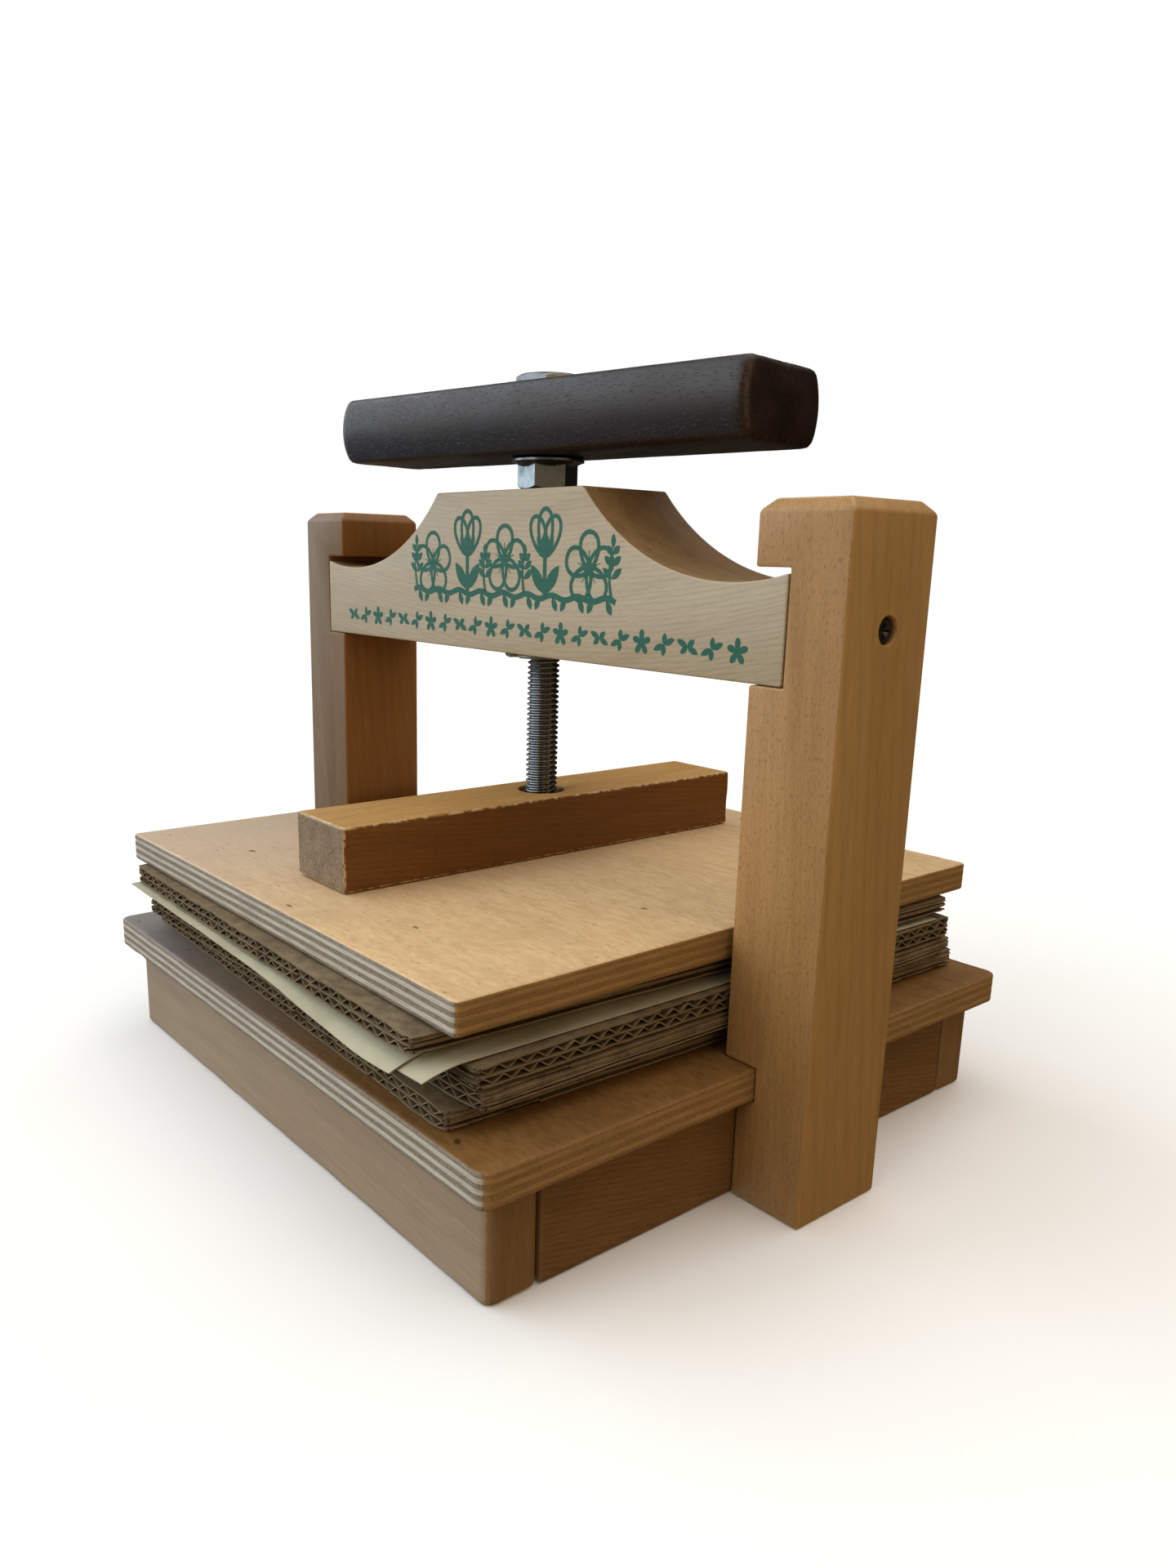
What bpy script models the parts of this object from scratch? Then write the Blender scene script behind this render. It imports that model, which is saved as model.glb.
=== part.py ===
"""Wooden flower press: a lap-jointed frame, a T-nut and screw with a bar handle, and a loose stack.

Metres, +Z up. The origin is the middle of the base on the table, on the screw's axis.
+X runs along the crossbeam, and the open front faces -Y.
"""

import math

import bmesh
import bpy
from mathutils import Matrix, Vector

GAP = 0.0003  # clearance kept between touching pieces
SCREW_Y = 0.00385  # the screw's axis is behind the middle of the whole, because the papers stick out in front
BEYOND = 0.010  # how far a cutter runs past the wood that it cuts

# Base
BOARD_X, BOARD_Y = 0.230, 0.217
BASE_TOP, BASE_THICK = 0.0400, 0.0098
OVERHANG = 0.0059  # of the base board over the rails
RAIL_THICK = 0.016
RAIL_TOP = BASE_TOP - BASE_THICK - GAP
SIDE_RAIL_BOTTOM = GAP
RAIL_X = BOARD_X / 2 - OVERHANG  # outer face of the side rails
RAIL_Y = BOARD_Y / 2 - OVERHANG  # outer face of the front and back rails

# Uprights
UPRIGHT_INNER, UPRIGHT_OUTER = 0.1043, 0.1329
UPRIGHT_Y, UPRIGHT_HEIGHT = 0.0343, 0.1897
UPRIGHT_CHAMFER = 0.003
HOOK_Z, HOOK_ROUND = 0.1730, 0.002  # underside of the hook over the crossbeam's end

# Crossbeam
BEAM_X = BOARD_X
BEAM_BOTTOM, BEAM_TOP = 0.1436, 0.1948
BEAM_FLAT = 0.0373  # half the length of its flat top
SHOULDER_R = 0.0774  # the concave shoulders are arcs around these centres
SHOULDER_X, SHOULDER_Z = 0.0950, 0.2464
LEFT_SHOULDER_OUT = 0.0013  # the left shoulder's centre is this much further out
BEAM_HOLE_R = 0.0062

# Screw, nuts and handle
SCREW_R, SCREW_CHAMFER = 0.0054, 0.001
SCREW_TIP = 0.0835
HEAD_BOTTOM, HEAD_HEIGHT = 0.2239, 0.0064
HEAD_FLATS, HEAD_YAW = 0.0200, math.radians(14.7)  # across the head's flats
NUT_FLATS, NUT_YAW = 0.0169, math.radians(-4.4)
CROWN_FLAT = 0.97  # a hexagon's chamfer starts at this share of its inner radius
CROWN_SLOPE = math.tan(math.radians(30))
CROWN_BLANK = 1.02  # radius of the chamfered blank, in corner radii
BORE_R = SCREW_R + GAP
FLANGE_R, FLANGE_RIM, FLANGE_RISE = 0.0118, 0.0010, 0.0014
NUT_BOTTOM, NUT_TOP = 0.1954, 0.2051
HANDLE_R, HANDLE_LENGTH = 0.0202, 0.1712
HANDLE_BOTTOM, HANDLE_TOP = 0.2054, 0.2273
HANDLE_YAW, HANDLE_SHIFT = math.radians(8.2), 0.0021
HANDLE_EDGE = 0.0035
HANDLE_HOLE_R, HEAD_SEAT_R = 0.0060, 0.0121
T_NUT_R, T_NUT_THICK = 0.0130, 0.0015
T_BARREL_R, T_BARREL_TOP = 0.0070, 0.1535
PRONG = (0.0012, 0.0030, 0.0060)  # thickness, width and height of a T-nut prong
PRONG_RADIUS = 0.0105

# Press bar and its steel disc
BAR_LOW = (-0.0152, -0.0851)
BAR_HIGH = (0.0137, 0.0813)
BAR_BOTTOM, BAR_TOP = 0.0763, 0.0963
POCKET_R, POCKET_FLOOR = 0.0075, 0.0809
DISC_R, DISC_THICK = 0.0071, 0.0020

# Top board and the stack. The pile has settled: it is lower towards the left.
BOARD_TOP, BOARD_THICK = 0.0766, 0.0090
TOP_BOARD_LOW = (-0.0990, -0.1070)
TOP_BOARD_HIGH = (0.1020, 0.1033)
LEVEL_X = TOP_BOARD_HIGH[0]  # heights below are measured here, at the pile's right edge
SETTLED = 1 / (TOP_BOARD_HIGH[0] - TOP_BOARD_LOW[0])  # share of a sag for each metre to the left
BOARD_SAG = 0.0014  # at the board's left edge
# corners front left, front right, back right and back left; bottom and top, and the sag of each
CARDBOARDS = {
    "cardboard_1": (
        ((-0.0900, -0.1098), (0.0930, -0.1136), (0.1030, 0.0930), (-0.0880, 0.0950)),
        (0.0612, 0.00105), (0.0673, 0.0014),
    ),
    "cardboard_2": (
        ((-0.0940, -0.1015), (0.1030, -0.1015), (0.1036, 0.0950), (-0.0945, 0.0920)),
        (0.0533, 0.0007), (0.0595, 0.00105),
    ),
    "cardboard_3": (
        ((-0.0965, -0.1040), (0.1028, -0.1000), (0.1036, 0.0965), (-0.0975, 0.0950)),
        (0.0468, 0.00035), (0.0530, 0.0007),
    ),
    "cardboard_4": (
        ((-0.1030, -0.0980), (0.0950, -0.1052), (0.1015, 0.1020), (-0.0990, 0.1050)),
        (0.0403, 0.0), (0.0465, 0.00035),
    ),
}
PAPERS = {
    "blotting_paper_upper": (
        ((-0.0900, -0.1117), (0.0885, -0.1162), (0.0959, 0.0867), (-0.0860, 0.0880)), 0.0605
    ),
    "blotting_paper_lower": (
        ((-0.0880, -0.1095), (0.0990, -0.1140), (0.1028, 0.0870), (-0.0855, 0.0900)), 0.0598
    ),
}
PAPER_THICK, PAPER_SAG = 0.0004, 0.00105
PAPER_COLUMNS = 12
PAPER_ROWS = (0, 0.015, 0.030, 0.050, 0.070, 0.090, 1)  # shares of the depth, close at the front
PAPER_FREE_FROM = -0.1025  # in front of this the papers hang free and droop
PAPER_FREE = 0.0137
DROOP_LEAST, DROOP_MOST = 0.0008, 0.0045
DROOP_X, DROOP_SPREAD = 0.070, 0.040
DROOP_POWER = 1.6

# Wood screws
WOOD_SCREW_R, WOOD_HEAD_R, WOOD_HEAD = 0.0019, 0.0032, 0.0020
WOOD_HOLE_R, WOOD_POCKET_R = WOOD_SCREW_R + GAP, WOOD_HEAD_R + GAP
BEAM_SCREW_Z, BEAM_SCREW_SUNK, BEAM_SCREW_LENGTH = 0.1583, 0.0010, 0.045
RAIL_SCREW_Z, RAIL_SCREW_Y, RAIL_SCREW_LENGTH = 0.0150, 0.0090, 0.028
RAIL_SCREW_SUNK = 0.0005
POCKET_REACH = 0.030  # of a screw hole's cutter, outwards from the head
WOOD_HEAD_EDGE = 0.3  # share of the head's height that is a plain rim
WOOD_TIP = 0.0048  # length of the pointed tip
CROSS_SLOT, CROSS_DEPTH = (0.0036, 0.0008), 0.0011  # the recess in a screw's head

ROUND_STEPS = 48
SMALL_STEPS = 24
SMOOTH_UNDER = math.radians(35)
X, Z = Vector((1, 0, 0)), Vector((0, 0, 1))


# ---------------------------------------------------------------- materials


def material(name, color, roughness, metallic=0.0):
    made = bpy.data.materials.new(name)
    made.use_nodes = True
    shader = made.node_tree.nodes["Principled BSDF"]
    shader.inputs["Base Color"].default_value = (*color, 1.0)
    shader.inputs["Roughness"].default_value = roughness
    shader.inputs["Metallic"].default_value = metallic
    made.diffuse_color = (*color, 1.0)
    return made


def make_materials():
    return {
        "plywood": material("birch plywood", (0.50, 0.33, 0.18), 0.55),
        "beech": material("oiled beech", (0.40, 0.25, 0.12), 0.50),
        "rail": material("rail wood", (0.34, 0.20, 0.09), 0.55),
        "beam": material("pale beech", (0.42, 0.34, 0.23), 0.55),
        "bar": material("red beech", (0.33, 0.17, 0.07), 0.50),
        "handle": material("dark stained hardwood", (0.035, 0.018, 0.012), 0.40),
        "zinc": material("zinc plated steel", (0.55, 0.56, 0.56), 0.32, 1.0),
        "black_steel": material("blackened steel", (0.06, 0.06, 0.06), 0.45, 1.0),
        "card": material("corrugated cardboard", (0.33, 0.24, 0.14), 0.85),
        "paper": material("blotting paper", (0.66, 0.62, 0.46), 0.90),
    }


# ---------------------------------------------------------------- building blocks


def block(low, high):
    """A box between two corners."""
    low, high = Vector(low), Vector(high)
    bm = bmesh.new()
    place = Matrix.Translation((low + high) / 2) @ Matrix.Diagonal((*(high - low), 1))
    bmesh.ops.create_cube(bm, size=1, matrix=place)
    return bm


def extruded(outline, y_low, y_high):
    """An outline in X and Z, carried along Y."""
    bm = bmesh.new()
    face = bm.faces.new([bm.verts.new((x, y_low, z)) for x, z in outline])
    grown = bmesh.ops.extrude_face_region(bm, geom=[face])["geom"]
    moved = [v for v in grown if isinstance(v, bmesh.types.BMVert)]
    bmesh.ops.translate(bm, vec=(0, y_high - y_low, 0), verts=moved)
    return bm


def turned(profile, steps=ROUND_STEPS, place=None):
    """A profile of (radius, height) points, turned around Z. Points on the axis close it."""
    bm = bmesh.new()
    rings = []
    for radius, height in profile:
        if radius == 0:
            rings.append([bm.verts.new((0, 0, height))] * steps)
            continue
        turns = [2 * math.pi * i / steps for i in range(steps)]
        rings.append(
            [bm.verts.new((radius * math.cos(a), radius * math.sin(a), height)) for a in turns]
        )
    loop = list(zip(rings, rings[1:]))
    if profile[0][0] != 0:
        loop.append((rings[-1], rings[0]))
    for lower, upper in loop:
        for i in range(steps):
            k = (i + 1) % steps
            corners = list(dict.fromkeys([lower[i], lower[k], upper[k], upper[i]]))
            bm.faces.new(corners)
    if place is not None:
        bm.transform(place)
    return bm


def rod(radius, bottom, top, steps=SMALL_STEPS):
    """A cylinder on the screw's axis."""
    return turned([(0, bottom), (radius, bottom), (radius, top), (0, top)], steps)


def hexagon(across_flats, bottom, top):
    """A hexagonal prism with two corners on X."""
    return rod(across_flats / math.sqrt(3), bottom, top, 6)


def arc(centre, radius, start, end, steps):
    """Points on a circle in X and Z, from one angle to another."""
    angles = [start + (end - start) * i / steps for i in range(steps + 1)]
    return [(centre[0] + radius * math.cos(a), centre[1] + radius * math.sin(a)) for a in angles]


def piece(name, bm, finish, smooth=False, parent=None, yaw=0.0):
    """Turns a bmesh into a named object."""
    bmesh.ops.recalc_face_normals(bm, faces=bm.faces)
    mesh = bpy.data.meshes.new(name)
    bm.to_mesh(mesh)
    bm.free()
    if smooth:
        mesh.shade_smooth()
        mesh.set_sharp_from_angle(angle=SMOOTH_UNDER)
    mesh.materials.append(finish)
    made = bpy.data.objects.new(name, mesh)
    made.rotation_euler.z = yaw
    made.parent = parent
    bpy.context.scene.collection.objects.link(made)
    return made


def combine(target, bm, operation="DIFFERENCE", yaw=0.0):
    """Cuts a shape from an object, or joins it on, with a hidden helper."""
    name = f"{target.name}_{operation.lower()}_{len(target.modifiers)}"
    helper = piece(name, bm, target.data.materials[0], parent=target.parent, yaw=yaw)
    helper.hide_render = True
    helper.display_type = "WIRE"
    modifier = target.modifiers.new(helper.name, "BOOLEAN")
    modifier.operation = operation
    modifier.solver = "EXACT"
    modifier.object = helper


def axis_empty(name, parent=None):
    """An empty at the origin, which lies on the screw's axis."""
    made = bpy.data.objects.new(name, None)
    made.empty_display_size = 0.02
    made.parent = parent
    bpy.context.scene.collection.objects.link(made)
    return made


# ---------------------------------------------------------------- frame


def make_base(finishes):
    low = (-BOARD_X / 2, -BOARD_Y / 2, BASE_TOP - BASE_THICK)
    high = (BOARD_X / 2, BOARD_Y / 2, BASE_TOP)
    piece("base_board", block(low, high), finishes["plywood"])
    for name, side in (("front_rail", -1), ("back_rail", 1)):
        y_edges = sorted((side * RAIL_Y, side * (RAIL_Y - RAIL_THICK)))
        low, high = (-RAIL_X, y_edges[0], 0), (RAIL_X, y_edges[1], RAIL_TOP)
        piece(name, block(low, high), finishes["rail"])
    side_rail_y = RAIL_Y - RAIL_THICK - GAP
    for name, side in (("left_rail", -1), ("right_rail", 1)):
        x_edges = sorted((side * RAIL_X, side * (RAIL_X - RAIL_THICK)))
        low = (x_edges[0], -side_rail_y, SIDE_RAIL_BOTTOM)
        high = (x_edges[1], side_rail_y, RAIL_TOP)
        rail = piece(name, block(low, high), finishes["rail"])
        for y in (-RAIL_SCREW_Y, RAIL_SCREW_Y):
            cut_screw_hole(rail, side, y, *rail_screw_span())


def upright_outline():
    """The right upright in X and Z: laps for the rail, the board and the crossbeam, and a hook."""
    shelf = BEAM_BOTTOM - GAP
    lap = BOARD_X / 2 + GAP
    hook_centre = (UPRIGHT_INNER + HOOK_ROUND, HOOK_Z + HOOK_ROUND)
    hook = arc(hook_centre, HOOK_ROUND, math.pi, 1.5 * math.pi, 4)
    return [
        (RAIL_X + GAP, 0),
        (UPRIGHT_OUTER, 0),
        (UPRIGHT_OUTER, UPRIGHT_HEIGHT),
        (UPRIGHT_INNER, UPRIGHT_HEIGHT),
        *hook,
        (lap, HOOK_Z),
        (lap, shelf),
        (UPRIGHT_INNER, shelf),
        (UPRIGHT_INNER, BASE_TOP + GAP),
        (lap, BASE_TOP + GAP),
        (lap, RAIL_TOP),
        (RAIL_X + GAP, RAIL_TOP),
    ]


def make_uprights(finishes):
    for name, side in (("left_upright", -1), ("right_upright", 1)):
        outline = [(side * x, z) for x, z in upright_outline()]
        bm = extruded(outline, -UPRIGHT_Y / 2, UPRIGHT_Y / 2)
        top = [e for e in bm.edges if all(v.co.z > UPRIGHT_HEIGHT - GAP for v in e.verts)]
        bmesh.ops.bevel(bm, geom=top, offset=UPRIGHT_CHAMFER, segments=1, affect="EDGES")
        upright = piece(name, bm, finishes["beech"])
        cut_screw_hole(upright, side, 0, *beam_screw_span(), z=BEAM_SCREW_Z)
        for y in (-RAIL_SCREW_Y, RAIL_SCREW_Y):
            cut_screw_hole(upright, side, y, *rail_screw_span())


def shoulder(shift):
    """Points on the right shoulder's arc, from the crossbeam's end to its flat top."""
    centre_x = SHOULDER_X + shift
    end_angle = -math.pi / 2 + math.asin((BEAM_X / 2 - centre_x) / SHOULDER_R)
    top_angle = -math.pi / 2 - math.asin((SHOULDER_X - BEAM_FLAT) / SHOULDER_R)
    return arc((centre_x, SHOULDER_Z), SHOULDER_R, end_angle, top_angle, 16)


def beam_outline():
    """The crossbeam in X and Z: square ends, a flat top and two concave shoulders."""
    half = BEAM_X / 2
    left = [(-x, z) for x, z in reversed(shoulder(LEFT_SHOULDER_OUT))]
    return [(-half, BEAM_BOTTOM), (half, BEAM_BOTTOM), *shoulder(0), *left]


def make_beam(finishes):
    beam = piece(
        "crossbeam", extruded(beam_outline(), -UPRIGHT_Y / 2, UPRIGHT_Y / 2), finishes["beam"]
    )
    step = T_BARREL_TOP + GAP
    bore = [
        (0, BEAM_BOTTOM - BEYOND),
        (T_BARREL_R + GAP, BEAM_BOTTOM - BEYOND),
        (T_BARREL_R + GAP, step),
        (BEAM_HOLE_R, step),
        (BEAM_HOLE_R, BEAM_TOP + BEYOND),
        (0, BEAM_TOP + BEYOND),
    ]
    combine(beam, turned(bore, SMALL_STEPS))
    for turn in range(4):
        combine(beam, prong(GAP, BEYOND), yaw=turn * math.pi / 2)
    for side in (-1, 1):
        cut_screw_hole(beam, side, 0, *beam_screw_span(), z=BEAM_SCREW_Z)


def prong(grown=0.0, below=0.0):
    """One prong of the T-nut, or the slot that it makes in the wood."""
    thick, width, height = PRONG
    low = (PRONG_RADIUS - thick / 2 - grown, -width / 2 - grown, BEAM_BOTTOM - 2 * GAP - below)
    high = (PRONG_RADIUS + thick / 2 + grown, width / 2 + grown, BEAM_BOTTOM + height + grown)
    return block(low, high)


def make_t_nut(finishes):
    bottom = BEAM_BOTTOM - GAP - T_NUT_THICK
    profile = [
        (BORE_R, bottom),
        (T_NUT_R, bottom),
        (T_NUT_R, bottom + T_NUT_THICK),
        (T_BARREL_R, bottom + T_NUT_THICK),
        (T_BARREL_R, T_BARREL_TOP),
        (BORE_R, T_BARREL_TOP),
    ]
    nut = piece("t_nut", turned(profile), finishes["zinc"], smooth=True)
    for turn in range(4):
        combine(nut, prong(), "UNION", yaw=turn * math.pi / 2)


# ---------------------------------------------------------------- wood screws


def beam_screw_span():
    """Head face and tip of a beam screw, as distances along X from the middle."""
    head = UPRIGHT_OUTER - BEAM_SCREW_SUNK
    return head, head - BEAM_SCREW_LENGTH


def rail_screw_span():
    """Head face and tip of a rail screw, which goes outwards through the side rail."""
    head = RAIL_X - RAIL_THICK + RAIL_SCREW_SUNK
    return head, head + RAIL_SCREW_LENGTH


def cut_screw_hole(wood, side, y, head, tip, z=RAIL_SCREW_Z):
    """A stepped hole from the head's side of the wood: a pocket for the head, then the shank's."""
    seat, end = WOOD_HEAD + GAP, abs(tip - head) + GAP
    profile = [
        (0, -POCKET_REACH),
        (WOOD_POCKET_R, -POCKET_REACH),
        (WOOD_POCKET_R, seat),
        (WOOD_HOLE_R, seat),
        (WOOD_HOLE_R, end),
        (0, end),
    ]
    combine(wood, turned(profile, SMALL_STEPS, along_x(side, y, head, tip, z)))


def along_x(side, y, head, tip, z):
    """Carries a shape turned around Z to a screw's place, from its head face towards its tip."""
    direction = X * (side if tip > head else -side)
    turn = direction.to_track_quat("Z", "Y").to_matrix().to_4x4()
    return Matrix.Translation((side * head, y, z)) @ turn


def wood_screw(name, side, y, head, tip, z, finish):
    """A screw along X with a flat head, a pointed tip and a cross recess."""
    place = along_x(side, y, head, tip, z)
    length = abs(tip - head)
    profile = [
        (0, 0),
        (WOOD_HEAD_R, 0),
        (WOOD_HEAD_R, WOOD_HEAD * WOOD_HEAD_EDGE),
        (WOOD_SCREW_R, WOOD_HEAD),
        (WOOD_SCREW_R, length - WOOD_TIP),
        (0, length),
    ]
    screw = piece(name, turned(profile, SMALL_STEPS, place), finish, smooth=True)
    long_half, short_half = CROSS_SLOT[0] / 2, CROSS_SLOT[1] / 2
    for wide, high in ((long_half, short_half), (short_half, long_half)):
        slot = block((-wide, -high, -CROSS_DEPTH), (wide, high, CROSS_DEPTH))
        slot.transform(place)
        combine(screw, slot)


def make_wood_screws(finishes):
    black, zinc = finishes["black_steel"], finishes["zinc"]
    for name, side in (("left", -1), ("right", 1)):
        wood_screw(f"beam_screw_{name}", side, 0, *beam_screw_span(), BEAM_SCREW_Z, black)
        for place, y in (("front", -RAIL_SCREW_Y), ("back", RAIL_SCREW_Y)):
            rail_screw = f"rail_screw_{name}_{place}"
            wood_screw(rail_screw, side, y, *rail_screw_span(), RAIL_SCREW_Z, zinc)


# ---------------------------------------------------------------- screw and handle


def crowned_hexagon(across_flats, bottom, top):
    """The blank that rounds off a hexagon's corners at its top, and how far the corners fall."""
    corner = across_flats / math.sqrt(3)
    flat = across_flats / 2 * CROWN_FLAT
    fall = (corner - flat) * CROWN_SLOPE
    blank = corner * CROWN_BLANK
    return turned([(0, bottom), (blank, bottom), (blank, top - fall), (flat, top), (0, top)])


def make_screw(finishes, axis):
    zinc = finishes["zinc"]
    head_top = HEAD_BOTTOM + HEAD_HEIGHT
    shank_top = HEAD_BOTTOM + HEAD_HEIGHT / 2
    shank = [
        (0, SCREW_TIP),
        (SCREW_R - SCREW_CHAMFER, SCREW_TIP),
        (SCREW_R, SCREW_TIP + SCREW_CHAMFER),
        (SCREW_R, shank_top),
        (0, shank_top),
    ]
    head = hexagon(HEAD_FLATS, HEAD_BOTTOM, head_top)
    screw = piece("press_screw", head, zinc, True, axis, HEAD_YAW)
    combine(screw, crowned_hexagon(HEAD_FLATS, HEAD_BOTTOM - GAP, head_top), "INTERSECT")
    combine(screw, turned(shank, SMALL_STEPS), "UNION")

    nut = piece("flange_nut", hexagon(NUT_FLATS, NUT_BOTTOM, NUT_TOP - GAP), zinc, True, axis, NUT_YAW)
    rim_bottom = NUT_TOP - FLANGE_RIM
    flange = [
        (0, rim_bottom - FLANGE_RISE),
        (NUT_FLATS / 2, rim_bottom - FLANGE_RISE),
        (FLANGE_R, rim_bottom),
        (FLANGE_R, NUT_TOP),
        (0, NUT_TOP),
    ]
    crown = crowned_hexagon(NUT_FLATS, 0, NUT_TOP - NUT_BOTTOM)
    crown.transform(Matrix.Translation((0, 0, NUT_TOP)) @ Matrix.Diagonal((1, 1, -1, 1)))
    combine(nut, crown, "INTERSECT")
    combine(nut, turned(flange), "UNION")
    combine(nut, rod(BORE_R, NUT_BOTTOM - BEYOND, NUT_TOP + BEYOND))


def make_handle(finishes, axis):
    """A dowel with its top and bottom planed flat and its edges eased."""
    middle = (HANDLE_BOTTOM + HANDLE_TOP) / 2
    half_height = (HANDLE_TOP - HANDLE_BOTTOM) / 2
    edge = math.asin(half_height / HANDLE_R)
    right = arc((0, middle), HANDLE_R, -edge, edge, 10)
    left = [(-x, z) for x, z in reversed(right)]
    bm = extruded(right + left, -HANDLE_LENGTH / 2, HANDLE_LENGTH / 2)
    ends = [e for e in bm.edges if len({round(v.co.y, 6) for v in e.verts}) == 1]
    bmesh.ops.bevel(bm, geom=ends, offset=HANDLE_EDGE, segments=3, profile=0.5, affect="EDGES")
    bm.transform(Matrix.Rotation(-math.pi / 2, 4, "Z") @ Matrix.Translation((0, HANDLE_SHIFT, 0)))
    handle = piece("handle", bm, finishes["handle"], True, axis, HANDLE_YAW)
    seat = HEAD_BOTTOM - GAP
    hole = [
        (0, HANDLE_BOTTOM - BEYOND),
        (HANDLE_HOLE_R, HANDLE_BOTTOM - BEYOND),
        (HANDLE_HOLE_R, seat),
        (HEAD_SEAT_R, seat),
        (HEAD_SEAT_R, HANDLE_TOP + BEYOND),
        (0, HANDLE_TOP + BEYOND),
    ]
    combine(handle, turned(hole))


def make_press_bar(finishes, axis):
    solid_bar = block((*BAR_LOW, BAR_BOTTOM), (*BAR_HIGH, BAR_TOP))
    bar = piece("press_bar", solid_bar, finishes["bar"], parent=axis)
    combine(bar, rod(POCKET_R, POCKET_FLOOR, BAR_TOP + BEYOND, ROUND_STEPS))
    disc = rod(DISC_R, POCKET_FLOOR + GAP, POCKET_FLOOR + GAP + DISC_THICK, ROUND_STEPS)
    piece("bearing_disc", disc, finishes["zinc"], True, axis)


# ---------------------------------------------------------------- stack


def settle(p, sag):
    """Lowers a point of the pile by its share of a sag, more to the left."""
    return p - Z * (sag * SETTLED * (LEVEL_X - p.x))


def slab(corners, bottom, top):
    """A slab over four corners. bottom and top are each a height and its sag."""
    bm = bmesh.new()
    lower, upper = (
        [bm.verts.new(settle(Vector((x, y, height)), sag)) for x, y in corners]
        for height, sag in (bottom, top)
    )
    bm.faces.new(lower)
    bm.faces.new(upper)
    for i in range(len(corners)):
        bm.faces.new((lower[i - 1], lower[i], upper[i], upper[i - 1]))
    return bm


def droop(x, y):
    """How far a paper's free front edge hangs below its flat part."""
    out = max(0.0, (PAPER_FREE_FROM - y) / PAPER_FREE)
    swell = math.exp(-(((x - DROOP_X) / DROOP_SPREAD) ** 2))
    return (DROOP_LEAST + (DROOP_MOST - DROOP_LEAST) * swell) * out**DROOP_POWER


def paper_point(corners, across, back, height):
    """A point on a paper, at a share of its width and of its depth."""
    front_left, front_right, back_right, back_left = (Vector((x, y, height)) for x, y in corners)
    p = front_left.lerp(front_right, across).lerp(back_left.lerp(back_right, across), back)
    return settle(p, PAPER_SAG) - Z * droop(p.x, p.y)


def paper_sheet(corners, bottom):
    """A thin sheet whose free front edge droops."""
    bm = bmesh.new()
    layers = []
    for height in (bottom, bottom + PAPER_THICK):
        grid = []
        for back in PAPER_ROWS:
            shares = [c / PAPER_COLUMNS for c in range(PAPER_COLUMNS + 1)]
            grid.append([bm.verts.new(paper_point(corners, c, back, height)) for c in shares])
        layers.append(grid)
    for grid in layers:
        for near, far in zip(grid, grid[1:]):
            for c in range(PAPER_COLUMNS):
                bm.faces.new((near[c], near[c + 1], far[c + 1], far[c]))
    lower, upper = (rim(grid) for grid in layers)
    for i in range(len(lower)):
        bm.faces.new((lower[i - 1], lower[i], upper[i], upper[i - 1]))
    return bm


def rim(grid):
    """The outer points of a grid, in order."""
    right = [row[-1] for row in grid[1:]]
    left = [row[0] for row in grid[-2:0:-1]]
    return [*grid[0], *right, *grid[-1][-2::-1], *left]


def make_stack(finishes):
    (left, front), (right, back) = TOP_BOARD_LOW, TOP_BOARD_HIGH
    corners = ((left, front), (right, front), (right, back), (left, back))
    board = slab(corners, (BOARD_TOP - BOARD_THICK, BOARD_SAG), (BOARD_TOP, BOARD_SAG))
    piece("top_board", board, finishes["plywood"])
    for name, (corners, bottom, top) in CARDBOARDS.items():
        piece(name, slab(corners, bottom, top), finishes["card"])
    for name, (corners, bottom) in PAPERS.items():
        piece(name, paper_sheet(corners, bottom), finishes["paper"], smooth=True)


def main():
    for old in list(bpy.data.objects):
        bpy.data.objects.remove(old)
    finishes = make_materials()
    make_base(finishes)
    make_uprights(finishes)
    make_beam(finishes)
    make_t_nut(finishes)
    make_wood_screws(finishes)
    travel_axis = axis_empty("press_travel_axis")
    turn_axis = axis_empty("screw_turn_axis", travel_axis)
    make_screw(finishes, turn_axis)
    make_handle(finishes, turn_axis)
    make_press_bar(finishes, travel_axis)
    make_stack(finishes)
    for made in bpy.data.objects:
        if made.parent is None:
            made.location.y += SCREW_Y


main()
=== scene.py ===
import math

import bmesh
import bpy
from mathutils import Matrix, Vector, noise


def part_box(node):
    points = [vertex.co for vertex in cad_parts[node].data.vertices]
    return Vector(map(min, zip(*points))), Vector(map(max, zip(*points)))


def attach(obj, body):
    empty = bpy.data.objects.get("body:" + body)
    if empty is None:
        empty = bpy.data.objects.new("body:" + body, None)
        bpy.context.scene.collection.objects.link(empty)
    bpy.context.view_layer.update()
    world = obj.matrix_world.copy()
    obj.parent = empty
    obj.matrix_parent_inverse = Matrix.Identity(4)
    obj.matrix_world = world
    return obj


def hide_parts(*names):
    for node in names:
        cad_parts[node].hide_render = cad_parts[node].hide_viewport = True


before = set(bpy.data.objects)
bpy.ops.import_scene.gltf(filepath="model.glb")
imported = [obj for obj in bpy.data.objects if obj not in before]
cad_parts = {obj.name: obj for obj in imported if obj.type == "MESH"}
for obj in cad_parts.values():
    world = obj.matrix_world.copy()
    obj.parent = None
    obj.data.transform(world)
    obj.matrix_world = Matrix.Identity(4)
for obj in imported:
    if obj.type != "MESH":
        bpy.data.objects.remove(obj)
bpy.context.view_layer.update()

MM = 0.001
GAP = 0.3 * MM  # between touching pieces
PLIES = 7
X, Y, Z = Vector((1, 0, 0)), Vector((0, 1, 0)), Vector((0, 0, 1))
SCENE = bpy.context.scene
SCREW_LOW, SCREW_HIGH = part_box("press_screw")
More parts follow.
